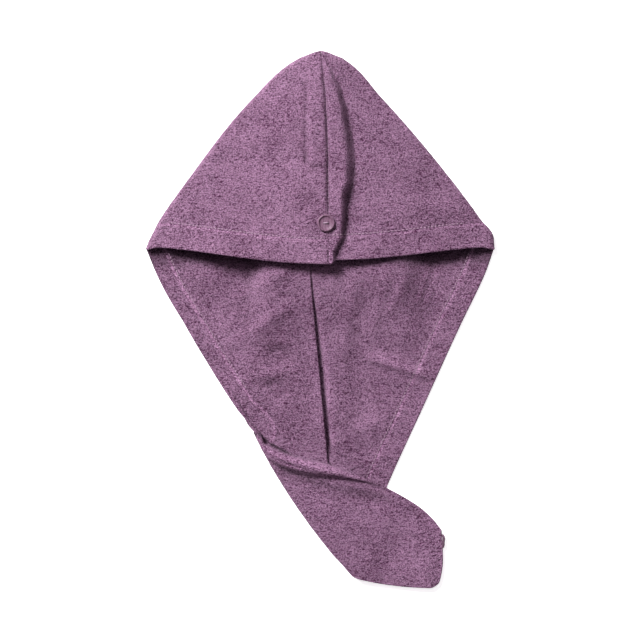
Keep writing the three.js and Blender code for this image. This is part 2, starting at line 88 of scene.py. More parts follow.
# Front
LEFT_HEM_RUN = 124
LEFT_HEM_DROP = 213
LEFT_HEM_BOW = 7
RIGHT_HEM_RUN = 125
RIGHT_HEM_DROP = 279
FRONT_SEAM_SHIFT = 14
FRONT_SEAM_LEAN = 23
SEAM_LAP = 8
LAP_MARGIN = 16
LAP_RAMP = 40
CORNER_INSET = 0.3
CORNER_STEP = 0.6
MOUTH_LIFT = 18  # how far the front rises in the middle of the mouth
SEAM_EDGE_RISE = 3.8  # of the left panel's edge along the seam
SEAM_SLOT_RISE = 4.6  # of the right panel beside it
SEAM_SLOT = 4.3
HEM_RISE = 5.5  # of the left hem over its gap at the fold

# Tail
FOLD_RUN = 114
FOLD_DROP = 164
LEFT_FOLD_FROM = 0.035
LEFT_FOLD_TO = 0.78
LEFT_TAIL_TO = 0.97
TAIL_RUN = 98.5
TAIL_DROP = 16
TAIL_END = 67
TAIL_END_LEAN = 4.6
TAIL_RAMP = 40
HEM_SETTLE = 3
ROLL_HEIGHT = 12
ROLL_WIDTH = 18
ROLL_RIDGES = 2.3  # height of the small ridges in the roll
ROLL_PITCH = 7.0
TAIL_CROWN = 2.6
END_BULGE = 4.0
END_ROUND = 9.0

# Button and loop
BUTTON_DIAMETER = 20
BUTTON_THICKNESS = 3.6
BUTTON_FROM_HEM = 47
BUTTON_OFF_SEAM = 2.6
BUTTON_GAP = 0.3
BUTTON_DISH = 0.55
BUTTON_HOLE_DIAMETER = 2.2
BUTTON_HOLE_SPACING = 5
THREAD_DIAMETER = 1.2
LOOP_CORD = 2.6
LOOP_HEIGHT = 16
LOOP_LEAN = 2.9
LOOP_RISE = 2.6
LOOP_FROM_TOP = 5
LOOP_GAP = 0.3

# Fold beside the nape seam: place from tip to hem, width, drop
RIDGE = np.array([
    (0.0, 0.04, 0.0), (0.1, 0.3, 0.25), (0.21, 0.62, 0.7), (0.32, 0.77, 1.0),
    (0.43, 0.9, 1.0), (0.53, 0.97, 1.0), (0.63, 0.93, 1.0), (0.726, 0.67, 1.0),
    (0.823, 0.57, 0.9), (0.89, 0.5, 0.75), (0.97, 0.2, 0.5), (1.0, 0.18, 0.45),
])
TAIL_UPPER_EDGE = [(0.39, 0.021), (0.68, 0.052), (0.76, 0.053), (0.865, 0.045), (0.945, 0.024)]
TAIL_LOWER_EDGE = [(0.19, 0.48), (0.55, 0.84)]
# Low folds of the front: across, along, half length, half width, height in layers, turn
FRONT_FOLDS = [
    (-0.5, 0.47, 0.14, 0.065, 1.6, -62),
    (-0.62, 0.2, 0.11, 0.07, 1.4, -50),
    (0.48, 0.66, 0.12, 0.065, 1.7, -18),
    (0.3, 0.98, 0.1, 0.06, 1.4, 30),
    (0.66, 0.22, 0.16, 0.07, 1.5, -66),
]

# Hems: distances of their stitches from the edges, thickness and furrows
NAPE_BAND = 29.5
HEM_BAND = {LEFT: 22.5, RIGHT: 26.0}
BAND_RAMP = 2.5
FURROW_WIDTH = 1.7
STITCH_PITCH = 4.2
STITCH_LENGTH = 3.1
STITCH_RADIUS = 0.55
STITCH_POINTS = 7
SEAM_FROM = 42.0
SEAM_TO = 196.0
SEAM_PITCH = 4.6
SEAM_STITCH_RADIUS = 0.38
PILE_HEIGHT = 0.07
TUFT_HEIGHT = 0.06
FAR = 99.0  # stands for the distance of points that a hem or crease doesn't touch

# Grid of the cloth
CROWN_ROWS = 78
STITCH_ROWS = 14
HEM_ROWS = 9
FRONT_ROWS = 150
FOLD_ROWS = 14
TAIL_ROWS = 78
FRONT_COLUMNS = 88
BEND_COLUMNS = 12
NAPE_COLUMNS = 92
EDGE_STEPS = np.array([0.0, 0.25, 0.7, 1.35])  # distances of the rows that round an edge
EDGE_REACH = 2.2  # and of the first row past them


def smooth(value):
    value = np.clip(value, 0, 1)
    return value * value * (3 - 2 * value)


def ramp(value, start, distance):
    return smooth((value - start) / distance)


def mix(a, b, share):
    return a + (b - a) * share


def read_table(table, column, along):
    row = int(np.clip(np.searchsorted(table[:, 0], along) - 1, 0, len(table) - 2))
    share = (along - table[row, 0]) / (table[row + 1, 0] - table[row, 0])
    return mix(table[row, column], table[row + 1, column], smooth(share))


# Plan of the towel

FOLD_START = np.array([-HOOD_WIDTH / 2 + LEFT_HEM_RUN, -LEFT_HEM_DROP])
FOLD_END = FOLD_START + (FOLD_RUN, -FOLD_DROP)
FOLD_CONTROLS = np.array([
    FOLD_START,
    FOLD_START + (0.22 * FOLD_RUN, -0.34 * FOLD_DROP),
    FOLD_START + (0.72 * FOLD_RUN, -0.83 * FOLD_DROP),
    FOLD_END,
])
TAIL_LOW = FOLD_END + (TAIL_RUN, -TAIL_DROP)
TAIL_HIGH = TAIL_LOW + (TAIL_END_LEAN, TAIL_END)
HEM_CROSSING = np.array([HOOD_WIDTH / 2 - RIGHT_HEM_RUN, -RIGHT_HEM_DROP])


def seam_top_x(s):
    return TIP_SHIFT + SEAM_SHIFT * (1 - (1 - s) ** 3)


def seam_bottom_x(s):
    return mix(TIP_SHIFT, -FRONT_SEAM_SHIFT, s)


def front_seam_x(y):
    return -FRONT_SEAM_SHIFT + FRONT_SEAM_LEAN * (-y / (LEFT_HEM_DROP + 0.2 * FOLD_DROP))


def hood_edge_x(side, s):
    middle = mix(TIP_SHIFT, 0, s) - HOOD_LEAN * math.sin(math.pi * s) * (1 - s) ** 2
    fullness = 1 + CORNER_FULLNESS * math.sin(math.pi * s ** 4)
    tip = TIP_EXTRA[side] * min(1, s / 0.035) ** 0.62 * (1 - ramp(s, 0.05, 0.2))
    corner = CORNER_EXTRA[side] * math.exp(-((s - 0.93) / 0.045) ** 2)
    return middle + side * ((HOOD_WIDTH / 2 - HALF) * s ** WIDENING * fullness + tip + corner)


def hem_line_x(y):
    share = (HEM_CROSSING[1] - y) / (HEM_CROSSING[1] - FOLD_END[1])
    return mix(HEM_CROSSING[0], FOLD_END[0], share)


def hidden_edge_x(y):
    return mix(-FRONT_SEAM_SHIFT - SEAM_LAP, FOLD_START[0], np.clip(-y / LEFT_HEM_DROP, 0, 1.5))


BUTTON_Y = BUTTON_FROM_HEM - NAPE_DIP - SEAM_DIP
BUTTON_X = seam_top_x(1 - BUTTON_Y / HOOD_LENGTH) - BUTTON_OFF_SEAM


def crown_rise(s):
    return (HOOD_HEIGHT - TERRY - 2 * SIDE_BEND) * math.sin(math.pi / 2 * s)


SEAT_ALONG = 1 - (BUTTON_Y + 0.6 * NAPE_DIP) / HOOD_LENGTH
BUTTON_SEAT = HALF + 2 * SIDE_BEND + crown_rise(SEAT_ALONG)

# From the plan's axes to the frame's: the button's node says where the towel lies
low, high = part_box("button")
SHIFT = np.array([
    (low.x + high.x) / 2 / MM - BUTTON_X,
    (low.y + high.y) / 2 / MM - BUTTON_Y,
    low.z / MM - (BUTTON_SEAT + HALF + BUTTON_GAP),
])


# Relief of the cloth, with places in millimetres of the frame

def bump(points, x, y, radius_x, radius_y, turn):
    dx = points[:, 0] + SHIFT[0] - x
    dy = points[:, 1] + SHIFT[1] - y
    angle = math.radians(turn)
    along = (dx * math.cos(angle) + dy * math.sin(angle)) / radius_x
    across = (dy * math.cos(angle) - dx * math.sin(angle)) / radius_y
    return np.exp(-(along ** 2 + across ** 2))


def from_line(points, start, end):
    """Distance across a line, signed to its left, and the share of the way along it."""
    p = points[:, :2] + SHIFT[:2] - start
    d = np.subtract(end, start)
    length = math.hypot(*d)
    d = d / length
    return p @ np.array([-d[1], d[0]]), (p @ d) / length


def crease(points, start, end, width):
    """A furrow between two points that thins out towards both."""
    across, along = from_line(points, start, end)
    inside = ramp(along, -0.06, 0.3) * (1 - ramp(along, 0.76, 0.3))
    return np.exp(-(across / width) ** 2) * inside


def wave_set(seed, count, shortest, longest, squash=(1, 1, 1)):
    random = np.random.default_rng(seed)
    directions = random.normal(size=(count, 3))
    directions /= np.linalg.norm(directions, axis=1)[:, None]
    lengths = np.exp(random.uniform(math.log(shortest), math.log(longest), count))
    return 2 * math.pi * directions / lengths[:, None] * np.array(squash), random.uniform(0, 6.28, count)


def noise(points, waves):
    directions, phases = waves
    directions = directions[:, :points.shape[1]]
    total = np.zeros(len(points))
    for direction, phase in zip(directions, phases):
        total += np.cos(points @ direction + phase)
    return total / math.sqrt(len(phases) / 2)


PILE_OUT = wave_set(11, 56, 4.2, 6.0)
PILE_IN = wave_set(12, 56, 4.2, 6.0)
TUFTS = wave_set(13, 30, 9, 20)
DRIFT = wave_set(14, 16, 45, 110, (1, 1, 0))
RIPPLE = wave_set(15, 20, 16, 34, (0.45, 1, 0))


# Rounds of the nape side and the front: place, radii, turn, height
NAPE_BUMPS = [
    (-15.8, 184, 3.6, 8.5, 8, -2.2), (-20, 196, 6, 7, 0, -1.0), (1, 194, 5, 4, 0, -0.9),
    (-47, 107, 15, 7, 5, -0.9), (12, 104, 9, 6, 0, -0.8), (-112, 80, 44, 34, 0, 4.5),
]
FRONT_BUMPS = [
    (-54, -60, 62, 46, -70, 3.4), (-60, -62, 26, 8, 6, 2.4), (-46, -39, 18, 9, -20, -6.0),
    (-93, -36, 12, 7, -20, -1.6), (-49, -79, 14, 10, -40, -5.6), (-84, -50, 22, 6, -52, 1.5),
    (60, -112, 30, 12, 30, 1.6), (53, -138, 10, 8, 20, -2.2), (62, -160, 26, 10, 24, 1.6),
    (70, -92, 22, 9, -50, -1.2),
]
# Furrows and small folds: start, end, width, height
NAPE_CREASES = [((-17, 178), (7, 172), 2.0, -1.3), ((-2, 162), (10, 160), 1.8, -1.0)]
FRONT_CREASES = [
    ((-110, 20), (-30, 60), 9, 2.2), ((-92, -22), (-28, 22), 8, 1.8), ((40, 62), (26, -52), 9, 2.0),
    ((82, 66), (52, -30), 9, 1.8), ((104, 68), (76, -2), 7, 1.5), ((138, 60), (120, 12), 3, 1.3),
    ((127, 60), (110, 14), 3, 1.1), ((48, -40), (130, -64), 8, 2.8),
    ((54, -50), (131, -74), 3.2, -3.2), ((-57, -118), (-40, -156), 2.2, -3.0),
]


def relief(p, bumps, creases):
    z = sum(height * bump(p, *place) for *place, height in bumps)
    return z + sum(height * crease(p, *line) for *line, height in creases)


def nape_relief(p):
    x = p[:, 0] + SHIFT[0]
    y = p[:, 1] + SHIFT[1]
    seam = seam_top_x(np.clip(1 - p[:, 1] / HOOD_LENGTH, 0, 1)) + SHIFT[0]
    band = ramp(x, -14.0, 3.0) * (1 - ramp(x, seam - 0.6, 0.6))
    band *= ramp(y, 174, 5) * (1 - ramp(y, 268, 22))
    furrow = np.exp(-((x + 16.5) / 2.6) ** 2) * ramp(y, 176, 8) * (1 - ramp(y, 262, 22))
    z = NAPE_RIDGE * (band - furrow) + relief(p, NAPE_BUMPS, NAPE_CREASES)
    return z + 0.8 * noise(p, DRIFT) + 0.22 * noise(p, RIPPLE)


def front_relief(p):
    z = np.zeros(len(p))
    for across, along, length, width, height, turn in FRONT_FOLDS:
        dx = p[:, 0] - across * HOOD_WIDTH / 2
        dy = p[:, 1] + along * LEFT_HEM_DROP
        angle = math.radians(turn)
        a = (dx * math.cos(angle) + dy * math.sin(angle)) / (length * HOOD_WIDTH)
        c = (dy * math.cos(angle) - dx * math.sin(angle)) / (width * HOOD_WIDTH)
        z += height * TERRY * np.cos(np.minimum(1, np.hypot(a, c)) * math.pi / 2) ** 2
    return z


def front_detail(p):
    """Height of the front over the surface and its dents, before the tail and the mouth."""
    z = 1.0 + 0.45 * noise(p, DRIFT) + 0.16 * noise(p, RIPPLE)
    return z + relief(p, FRONT_BUMPS, FRONT_CREASES)


def mouth_lift(p):
    """The front rises towards the middle of the mouth and lies flat at its two ends."""
    x = p[:, 0] + SHIFT[0]
    y = p[:, 1] + SHIFT[1]
    across = ramp(x, -88, 30) * (1 - ramp(x, 88, 44))
    return MOUTH_LIFT * across * ramp(y, -62, 127) * (1 - ramp(y, 84, 42))


def clear_of_tail(p):
    """1 where the front is well clear of the tail that lies over it, 0 under it."""
    start = FOLD_TOP + SHIFT[:2]
    end = TAIL_HIGH + SHIFT[:2]
    return ramp(from_line(p, start, end)[0], 9, 22)


def left_lift(x, y, s):
    edge = seam_bottom_x(s) - SEAM_LAP if s < 1 else hidden_edge_x(y)
    begin = ramp(s, 0.4, 0.3) if s < 1 else 1
    return begin * LAYER * ramp(x, edge - LAP_MARGIN - LAP_RAMP, LAP_RAMP)


def tail_height(x, y):
    past_seam = ramp(x, front_seam_x(y) + HEM_SETTLE, TAIL_RAMP)
    past_hem = ramp(x, hem_line_x(y) + HEM_SETTLE, TAIL_RAMP)
    return HALF + LAYER * (2 - past_seam - past_hem) + FOLD_SLACK * (1 - past_hem)


# The cloth's middle in the hood

def crowded_ends(count, reach, both=True):
    """Shares of a length of about reach, with extra ones where the edges are rounded."""
    near = EDGE_STEPS / reach
    if both:
        between = np.linspace(EDGE_REACH / reach, 1 - EDGE_REACH / reach, count - 7)
        return np.concatenate([near, between, 1 - near[::-1]])
    return np.concatenate([np.linspace(0, 1 - EDGE_REACH / reach, count - 3), 1 - near[::-1]])


FRONT_SHARES = crowded_ends(FRONT_COLUMNS, 190)
NAPE_SHARES = crowded_ends(NAPE_COLUMNS, 200, both=False)


def hood_row(side, s):
    edge = hood_edge_x(side, s)
    gap = SEAM_GAP * mix(0.2, 1, ramp(s, 0.0, 0.05))
    lap = SEAM_LAP * ramp(s, 0.75, 0.25) if side == RIGHT else 0
    bottom = seam_bottom_x(s) + side * gap / 2 - lap
    top = seam_top_x(s) + side * gap / 2
    bottom_width = max(0, side * (edge - bottom))
    top_width = max(0, side * (edge - top))
    bend = min(SIDE_BEND, bottom_width, top_width)
    bend_length = math.pi * math.sqrt((bend * bend + SIDE_BEND * SIDE_BEND) / 2)
    front = bottom_width - bend
    nape = top_width - bend
    total = front + bend_length + nape
    stations = np.concatenate([
        front * FRONT_SHARES,
        front + bend_length * np.arange(1, BEND_COLUMNS + 1) / BEND_COLUMNS,
        front + bend_length + nape * NAPE_SHARES[1:],
    ])
    even = total * np.arange(len(stations)) / (len(stations) - 1)
    stations = mix(even, stations, ramp(top_width, 0, TIP_REACH))

    turn = math.pi * (np.clip((stations - front) / bend_length, 0, 1) - 0.5)
    start = np.where(turn < 0, bottom + side * front, top + side * nape)
    x = start + side * bend * np.cos(turn)
    x = np.where(stations <= front, bottom + side * stations, x)
    x = np.where(stations >= front + bend_length, top + side * (total - stations), x)
    upper = np.maximum(0, np.sin(turn))
    from_seam = np.abs(x - top)
    outward = np.clip(from_seam / max(top_width, 1e-6), 0, 1)
    crown = upper * (0.5 + 0.5 * np.cos(math.pi * outward)) ** CROWN_FULLNESS
    on_ridge = np.ones(len(x))
    if side == RIGHT:
        width = RIDGE_WIDTH * read_table(RIDGE, 1, s)
        on_ridge = 1 - ramp(from_seam, 0.85 * width, 0.5 * width + 2)
        crest = np.exp(-((from_seam - 0.72 * width) / (0.32 * width)) ** 2)
    drop = RIDGE_DROP * read_table(RIDGE, 2, s) * (1 - on_ridge)
    tip = 1 - ramp(top_width, 0, TIP_REACH)
    dip = (NAPE_DIP + SEAM_DIP * on_ridge) * s ** 3
    rounding = SIDE_BEND * tip * (1 - np.cos(turn))
    y = (HOOD_LENGTH - HALF) * (1 - s) - rounding - dip * crown
    round_bend = ramp(stations, front, 0.5 * bend_length) * np.exp(-(np.abs(edge - x) / 9) ** 2)
    y = y - CORNER_DROOP * round_bend * ramp(s, 0.95, 0.05)
    y = y + TIP_DOME * np.exp(-((x - TIP_SHIFT) / TIP_DOME_WIDTH) ** 2) * (1 - ramp(s, 0.0, 0.06))
    z = HALF + SIDE_BEND * (1 + np.sin(turn)) + (crown_rise(s) - drop) * crown
    if side == LEFT:
        z = z + left_lift(x, y, s) * np.maximum(0, -np.sin(turn))
    seat = 1 - ramp(np.hypot(x - BUTTON_X, y - BUTTON_Y), BUTTON_DIAMETER, 0.6 * BUTTON_DIAMETER)
    flat_top = stations >= front + bend_length
    z = np.where(flat_top, mix(z, BUTTON_SEAT, seat * on_ridge), z)
    if side == RIGHT:
        z = z + CREST_HEIGHT * crest * flat_top * read_table(RIDGE, 2, s) * (1 - seat)
    groove = np.exp(-(from_seam / GROOVE_WIDTH) ** 2) * ramp(s, 0.02, 0.08) * (1 - ramp(s, 0.76, 0.04))
    z = z - GROOVE_DEPTH * groove * flat_top
    under = stations <= front
    points = np.stack([x, y, z], axis=1)
    points[:, 2] += np.where(under, mouth_lift(points), 0)
    fade = upper ** 2 * ramp(top_width, 8, 40) * ramp(outward, -0.01, 0.02) * (1 - seat)
    points[:, 2] += nape_relief(points) * fade * (1 - ramp(outward, 0.86, 0.14))
    return points


# Front below the mouth, the fold and the folded tail

def bezier(controls, t):
    t = np.atleast_1d(np.asarray(t, float))[:, None]
    a, b, c, d = controls
    point = a * (1 - t) ** 3 + 3 * b * t * (1 - t) ** 2 + 3 * c * t * t * (1 - t) + d * t ** 3
    slope = 3 * (b - a) * (1 - t) ** 2 + 6 * (c - b) * t * (1 - t) + 3 * (d - c) * t * t
    return point, slope / np.linalg.norm(slope, axis=1)[:, None]


def fold_radius(layer, place):
    over = tail_height(place[:, 0], place[:, 1]) + (LAYER if layer == RIGHT else 0)
    under = HALF + (LAYER if layer == LEFT else 0)
    return (over - under) / 2


def fold_axis(v):
    place, tangent = bezier(FOLD_CONTROLS, v)
    outward = np.stack([tangent[:, 1], -tangent[:, 0]], axis=1)
    inset = fold_radius(RIGHT, place) + HALF
    return place - outward * inset[:, None], place, outward


FOLD_TOP = fold_axis(0)[0][0]
FOLD_FOOT = fold_axis(1)[0][0]


class Path:
    """A smooth curve through points, read by the share of its length."""

    def __init__(self, points, samples=400):
        p = np.array(points, float)
        ends = np.vstack([2 * p[0] - p[1], p, 2 * p[-1] - p[-2]])
        found = []
        for i in range(len(p) - 1):
            p0, p1, p2, p3 = ends[i:i + 4]
            d0, d1, d2 = (np.sum((b - a) ** 2) ** 0.25 for a, b in ((p0, p1), (p1, p2), (p2, p3)))
            m1 = ((p1 - p0) / d0 - (p2 - p0) / (d0 + d1) + (p2 - p1) / d1) * d1
            m2 = ((p2 - p1) / d1 - (p3 - p1) / (d1 + d2) + (p3 - p2) / d2) * d1
            t = np.linspace(0, 1, samples)[:, None]
            found.append(
                p1 + m1 * t + (-3 * p1 + 3 * p2 - 2 * m1 - m2) * t ** 2
                + (2 * p1 - 2 * p2 + m1 + m2) * t ** 3
            )
        self.points = np.vstack(found)
        steps = np.linalg.norm(np.diff(self.points, axis=0), axis=1)
        self.along = np.concatenate([[0], np.cumsum(steps)])
        self.length = self.along[-1]

    def at(self, share):
        where = np.atleast_1d(share) * self.length
        return np.stack([np.interp(where, self.along, c) for c in self.points.T], axis=1)


def left_hem_at(q):
    start = np.array([-HOOD_WIDTH / 2 + CORNER_INSET, -CORNER_STEP])
    control = np.array([-HOOD_WIDTH / 2 + LEFT_HEM_RUN / 2 - 2 * LEFT_HEM_BOW, -LEFT_HEM_DROP / 2])
    point = start * (1 - q) ** 2 + 2 * control * q * (1 - q) + FOLD_START * q * q
    point = point - (2.2 * math.sin(math.pi * min(q / 0.4, 1)), 0)
    point = point + (FOLD_TOP - FOLD_START) * ramp(q, 0.88, 0.1)
    return point + (fold_axis(LEFT_FOLD_FROM)[0][0] - FOLD_TOP) * ramp(q, 0.92, 0.08)


LEFT_SEAM_END = fold_axis(LEFT_FOLD_TO)[0][0]


def left_seam_at(q):
    y = LEFT_SEAM_END[1] * q
    return np.array([mix(front_seam_x(y), LEFT_SEAM_END[0], ramp(q, 0.75, 0.25)), y])


RIGHT_HEM = Path([
    (HOOD_WIDTH / 2 - CORNER_INSET, -CORNER_STEP),
    (HOOD_WIDTH / 2 - RIGHT_HEM_RUN * 0.11 + 3, -RIGHT_HEM_DROP * 0.11),
    (HOOD_WIDTH / 2 - RIGHT_HEM_RUN * 0.33 + 1.2, -RIGHT_HEM_DROP * 0.33),
    (HOOD_WIDTH / 2 - RIGHT_HEM_RUN * 0.66 + 0.5, -RIGHT_HEM_DROP * 0.66),
    HEM_CROSSING,
    FOLD_FOOT,
])


def right_seam_at(q):
    return np.array([mix(hidden_edge_x(0), FOLD_TOP[0], q), FOLD_TOP[1] * q])


CHORD = TAIL_HIGH - FOLD_TOP
SIDEWAYS = np.array([-CHORD[1], CHORD[0]])
# The tail's upper edge near the fold, and where its roll ends, in the frame
TAIL_START = [(-72.0, -135.0), (-59.8, -143.8), (-49.4, -149), (-36.8, -153.5), (-20.7, -157.8)]
ROLL_END = [(31.0, -182.0), (79.0, -199.0)]
TAIL_UPPER = Path([
    FOLD_TOP,
    *(np.array(place) - SHIFT[:2] for place in TAIL_START),
    *(FOLD_TOP + CHORD * along + SIDEWAYS * rise for along, rise in TAIL_UPPER_EDGE),
    TAIL_HIGH,
])
TAIL_LOWER = Path([
    FOLD_FOOT,
    FOLD_END + (2.6, -2.0),
    *(FOLD_END + (along * TAIL_RUN, -drop * TAIL_DROP) for along, drop in TAIL_LOWER_EDGE),
    TAIL_LOW,
])


def row_between(start, end, v, curved, first, last):
    point = start + (end - start) * v[:, None]
    on_fold = fold_axis(mix(first, last, v))[0]
    a, b = fold_axis([first, last])[0]
    on_chord = a + (b - a) * v[:, None]
    return point + (on_fold - on_chord) * curved


def with_z(xy, z):
    return np.column_stack([xy, z])


# The left hem ends over a gap along this line of the frame, where the tail turns over
GAP_START = (-75.5, -129.5)
GAP_MIDDLE = (-56.0, -143.2)
GAP_END = (-38.0, -152.5)


def hem_shares(length, band):
    """Shares of a row with columns close together at the stitches of its hem."""
    from_hem = np.concatenate([
        EDGE_STEPS, np.linspace(EDGE_REACH, band - 3.2, 9), np.linspace(band - 2.4, band + 3.2, 8),
    ])
    left_over = FRONT_COLUMNS + 1 - len(from_hem) - len(EDGE_STEPS)
    inward = np.linspace(EDGE_REACH, length - band - 4.2, left_over)
    from_seam = np.concatenate([EDGE_STEPS, inward])
    return np.concatenate([from_seam, length - from_hem[::-1]]) / length


def front_row(side, q):
    seam_end = left_seam_at(q) if side == LEFT else right_seam_at(q)
    hem_end = left_hem_at(q) if side == LEFT else RIGHT_HEM.at(q)[0]
    shares = hem_shares(np.linalg.norm(hem_end - seam_end), HEM_BAND[side])
    v = mix(FRONT_SHARES, shares, ramp(q, 0, 0.06) * (1 - ramp(q, 0.84, 0.16)))
    if side == LEFT:
        curved = ramp(q, 0.86, 0.14)
        xy = row_between(seam_end, hem_end, v, curved, LEFT_FOLD_TO, LEFT_FOLD_FROM)
        z = HALF + front_relief(xy) + left_lift(xy[:, 0], xy[:, 1], 1)
        clear = clear_of_tail(xy)
        from_seam = np.linalg.norm(xy - xy[0], axis=1)
        z += (1.0 + SEAM_EDGE_RISE * clear) * ramp(q, 0.02, 0.5) * np.exp(-(from_seam / 15) ** 2)
        from_hem = np.linalg.norm(xy - xy[-1], axis=1)
        over_gap = ramp(from_line(xy, GAP_START, GAP_END)[0], -0.6, 2.4)
        z += HEM_RISE * ramp(q, 0.62, 0.26) * (1 - ramp(from_hem, 17, 6)) * over_gap
    else:
        xy = row_between(seam_end, hem_end, v, ramp(q, 0.55, 0.45), 0, 1)
        z = HALF + front_relief(xy)
        beside = xy[:, 0] - front_seam_x(xy[:, 1])
        open_seam = mix(0.3, 1, ramp(-xy[:, 1], 40, 110))
        slot = ramp(beside, SEAM_SLOT * open_seam, 3.2) * (1 - ramp(beside, 14, 34))
        z += SEAM_SLOT_RISE * slot * clear_of_tail(xy) * open_seam
    lift = mouth_lift(xy)
    detail = front_detail(xy)
    detail = np.maximum(detail * mix(1, 1.25, ramp(lift, 0, 4)), -0.8 * lift)
    z = z + detail * clear_of_tail(xy) * ramp(q, 0.0, 0.08) + lift
    corner = (1 - ramp(q, 0.0, 0.05)) * ramp(v, 0.9, 0.1) ** 2
    z = z + CORNER_DROOP * corner
    return with_z(xy, z)


def fold_row(side, step):
    v = FRONT_SHARES
    share = mix(LEFT_FOLD_TO, LEFT_FOLD_FROM, v) if side == LEFT else v
    axis, place, outward = fold_axis(share)
    turn = math.pi * (step - 0.5)
    radius = fold_radius(side, place)
    under = HALF + (LAYER if side == LEFT else 0)
    xy = axis + outward * (radius * math.cos(turn))[:, None]
    return with_z(xy, under + radius * (1 + math.sin(turn)))


CORNER_INWARD = -(TAIL_LOW - TAIL_HIGH) / np.linalg.norm(TAIL_LOW - TAIL_HIGH)


def rounded_corner(xy, from_lower, from_end):
    """The tail's lower corner is round: points near it move in towards the middle of the rounding."""
    a = np.maximum(0, 1 - from_lower / END_ROUND)
    b = np.maximum(0, 1 - from_end / END_ROUND)
    shrink = np.maximum(a, b) / np.maximum(np.hypot(a, b), 1e-9)
    shrink = np.where((a > 0) & (b > 0), shrink, 1)
    back = END_ROUND * (1 - shrink)
    return xy + np.outer(back * a, CORNER_INWARD) - np.outer(back * b, (1, -0.1))


def tail_row(side, q):
    v = FRONT_SHARES
    share = v
    if side == LEFT:
        share = mix(mix(LEFT_FOLD_TO, LEFT_TAIL_TO, smooth(q)), LEFT_FOLD_FROM, v)
    start, end = TAIL_UPPER.at(q)[0], TAIL_LOWER.at(q)[0]
    xy = row_between(start, end, share, 1 - ramp(q, 0, 0.6), 0, 1)
    xy = xy + np.outer(END_BULGE * np.sin(math.pi * share ** 1.25) * ramp(q, 0.7, 0.3), (1, -0.05))
    xy = rounded_corner(xy, (1 - share) * np.linalg.norm(end - start), (1 - q) * TAIL_RUN)
    z = tail_height(xy[:, 0], xy[:, 1])
    if side == RIGHT:
        away = share * np.linalg.norm(end - start)
        z = z + LAYER + tail_relief(xy, away, q)
    return with_z(xy, z)


def tail_relief(p, away, q):
    """The rolled upper edge with its small ridges near the fold, and the low folds of the tail."""
    begin = ramp(q, 0.0, 0.06)
    taper = 1 - ramp(q, 0.2, 0.5)
    width = max(ROLL_WIDTH * taper, 1.5)
    roll = smooth(away / (0.35 * width)) * (1 - ramp(away, 0.7 * width, 0.8 * width))
    z = ROLL_HEIGHT * roll * taper ** 0.7 * mix(0.5, 1, ramp(q, 0.0, 0.14))
    nested = np.cos(2 * math.pi * (away - ROLL_PITCH / 2) / ROLL_PITCH)
    nested *= (1 - ramp(away, 15, 8)) * (1 - ramp(q, 0.14, 0.2))
    z += ROLL_RIDGES * nested * begin * smooth(away / 3)
    clear = ramp(q, 0.03, 0.14) * smooth(away / 9)
    z += clear * (0.6 + 0.4 * noise(p, DRIFT) + 0.22 * noise(p, RIPPLE))
    z += TAIL_CROWN * ramp(q, 0.04, 0.2) * ramp(away, 17, 22) * (1 - ramp(q, 0.85, 0.15))
    z -= 1.0 * clear * bump(p, 66, -204, 30, 8, -26)
    return z


def panel_rows(side):
    hem_from, hem_to = 0.845, 0.905
    above = hem_from * np.linspace(0, 1, CROWN_ROWS, endpoint=False) ** 1.15
    stitched = np.linspace(hem_from, hem_to, STITCH_ROWS, endpoint=False)
    below = np.linspace(hem_to, 1 - EDGE_REACH / HOOD_LENGTH, HEM_ROWS)
    s_values = np.concatenate([above, stitched, below, 1 - EDGE_STEPS[::-1] / HOOD_LENGTH])
    rows = [hood_row(side, s) for s in s_values]
    rows += [front_row(side, q) for q in np.linspace(0.004, 1, FRONT_ROWS, endpoint=False)]
    rows += [fold_row(side, step) for step in np.linspace(0, 1, FOLD_ROWS)]
    reach = 150
    q_values = np.linspace(0, 1 - EDGE_REACH / reach, TAIL_ROWS)[1:]
    rows += [tail_row(side, q) for q in np.concatenate([q_values, 1 - EDGE_STEPS[::-1] / reach])]
    return rows


def distance_to_line(points, line):
    """Distance in plan from each point to a line of points."""
    nearest = np.full(len(points), 1e9)
    for a, b in zip(line[:-1], line[1:]):
        d = b - a
        t = np.clip(((points - a) @ d) / max(d @ d, 1e-9), 0, 1)
        nearest = np.minimum(nearest, np.linalg.norm(points - a - t[:, None] * d, axis=1))
    return nearest


REACH = 3  # grid steps to the points that say whether a place is a crest or a hollow


def free_edges(quads):
    """Edges that belong to one face only."""
    edges = {}
    for quad in quads:
        for a, b in zip(quad, np.roll(quad, -1)):
            key = (int(b), int(a))
            if key in edges:
                del edges[key]
            else:
                edges[(int(a), int(b))] = True
    return edges


def painted_cavity_shade(block):
    """Painted shade and highlight: how much darker a point is painted where it lies lower than the points
    around it, lighter where higher.
    """
    heights = np.array([row[:, 2] for row in block])
    padded = np.pad(heights, REACH, mode="edge")
    tall, broad = heights.shape
    around = (
        padded[REACH:-REACH, :broad] + padded[REACH:-REACH, 2 * REACH:]
        + padded[:tall, REACH:-REACH] + padded[2 * REACH:, REACH:-REACH]
    ) / 4
    return np.clip(0.11 * (around - heights), -0.25, 0.4).ravel()


def band_and_furrow(distance, band_width):
    """Shares of a hem's band and of the furrow of its stitches."""
    band = 1 - ramp(distance, band_width - BAND_RAMP, BAND_RAMP)
    return band, np.exp(-((distance - band_width) / FURROW_WIDTH) ** 2)


def pucker(along):
    return 0.5 + 0.5 * np.cos(along * math.pi / STITCH_PITCH)


